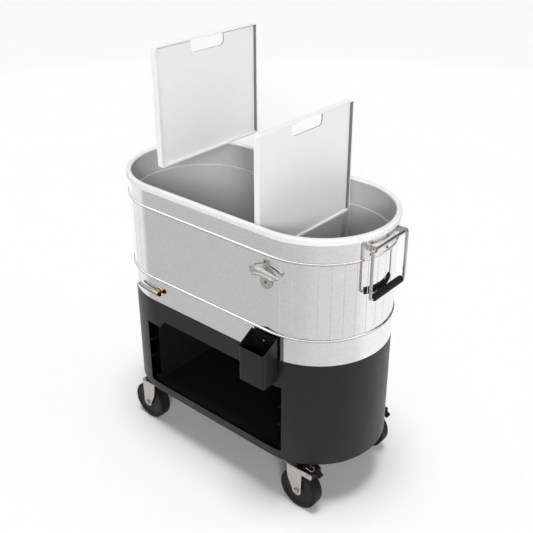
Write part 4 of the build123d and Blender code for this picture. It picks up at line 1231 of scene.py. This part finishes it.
# %% Swivel heads
race_low, race_high = 149, 154
swivel = lathe("swivel_cap", (caster_x, caster_y, 0), "Z", [
    (0, 140.7), (9.4, 140.7), (10, 141.3), (10, 145.1), (9.4, 145.7), (6, 145.7), (6, 149.3), (23.4, 149.3),
    (24, 149.9), (24.8, 153.2), (24, 153.8), (25.2, 154.6), (26.3, 157.9), (30.5, 157.9), (32, 159.4),
    (32, 162.4), (30.5, 163.9), (8, 163.9), (8, 180.9), (7, 181.9), (0, 181.9)], closed=False)
swivel.data.materials.append(black_plastic)
swivel.data.materials.append(zinc)
pick(swivel, "FACE", lambda middle, item: race_low < middle.z / MM < race_high)
swivel.active_material_index = 1
bpy.ops.object.material_slot_assign()
print("swivel head", swivel.dimensions)

# %% [markdown]
# ## Casters: brake pedals
# The two right casters have a foot brake: a sloping plate on a pin between the fork's arms, with a shoe
# over the tyre and a narrower tab at the toe that lets it off. Each stretch is drawn from the side,
# filled and pulled to its width. A bright spring clip lies on the plate; it is a bent wire, so it is
# drawn as a path and made round.

# %% Brake pedals
pedal_half, tab_half, boss_half, pedal_sheet = 16.0, 10.5, 21.0, 5.0
pin_x, pin_level = caster_x + 66, 141.0
pedal_line = [(caster_x + 45, 157.5), (caster_x + 84, 150.0), (caster_x + 100, 142.0)]


def pull_sheet(name, start, end, half_width):
    """A sloping sheet between two points of the side view, pulled to its width."""
    outline = [start, end, (end[0], end[1] - pedal_sheet), (start[0], start[1] - pedal_sheet)]
    sheet = draw_side_view(name, outline, caster_y - half_width)
    bpy.ops.mesh.extrude_region_move(TRANSFORM_OT_translate={"value": (0, 2 * half_width * MM, 0)})
    face_outwards()
    return sheet


plate_sheet = pull_sheet("brake_plate", pedal_line[0], pedal_line[1], pedal_half)
tab_sheet = pull_sheet("brake_tab", pedal_line[1], pedal_line[2], tab_half)
boss_radius, web_top, pin_radius = 7.0, 151.0, 3.0
shoe_start, shoe_end, shoe_drop = pin_x + 1, pin_x + 9, 22.5
pin_middle = (pin_x, caster_y, pin_level)
boss = add_disc("pedal_boss", pin_middle, boss_radius, 2 * boss_half, "Y")
web = add_block("pedal_web", (pin_x - boss_radius, caster_y - pedal_half, pin_level),
                (pin_x + boss_radius, caster_y + pedal_half, web_top))
shoe = add_block("pedal_shoe", (shoe_start, caster_y - boss_half, pin_level - shoe_drop),
                 (shoe_end, caster_y + boss_half, pin_level))
pin = add_disc("pedal_pin", pin_middle, pin_radius, 2 * fork_half, "Y")
pedal = join_pieces(plate_sheet, tab_sheet, boss, web, shoe, pin)
soften(pedal, 0.7)
print("pedal", pedal.dimensions)

# %% Spring clips
clip_path = [(58, 2), (74, 2), (77, -1), (77, -11), (74, -14), (56, -14)]
clip_start, clip_level, clip_fall, clip_wire = 45, 158.8, 0.19, 1.5
clip_places = [
    Vector((caster_x + out, caster_y + across, clip_level - (out - clip_start) * clip_fall)) * MM
    for out, across in clip_path]
clip = tube_along(draw_chain("pedal_clip", clip_places), clip_wire)
print("clip", clip.dimensions)

# %% [markdown]
# ## Casters: all four places
# The front right caster is the model. The rear one is the same moved back, and the left two are turned
# half round, so that their wheels trail outwards too.

# %% Casters in place
to_rear = Matrix.Translation((0, -2 * caster_y * MM, 0))
corners = {
    "front_right": Matrix.Identity(4), "rear_right": to_rear,
    "rear_left": half_turn, "front_left": half_turn @ to_rear,
}
for corner, change in corners.items():
    braked = corner.endswith("right")
    pieces = {"tyre": tyre, "hub": hub, "axle": axle, "swivel_head": swivel,
              "fork": braked_fork if braked else plain_fork}
    if braked:
        pieces["brake_pedal"] = pedal
    for node, model in pieces.items():
        finish_piece(copy_piece(model, f"{corner}_{model.name}", change), f"{corner}_{node}")
    if braked:
        spring = copy_piece(clip, f"{corner}_pedal_clip", change)
        spring.data.materials.append(zinc)
        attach(spring, f"{corner}_brake")
for model in (tyre, hub, axle, swivel, plain_fork, braked_fork, pedal, clip):
    bpy.data.objects.remove(model)

# %% [markdown]
# ## Sizes
# The box round the dressed cooler is printed at the end. The dressed cooler has to keep the size of
# the CAD frame.

# %% Sizes and finish
low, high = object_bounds()
print("visual box", low, high)
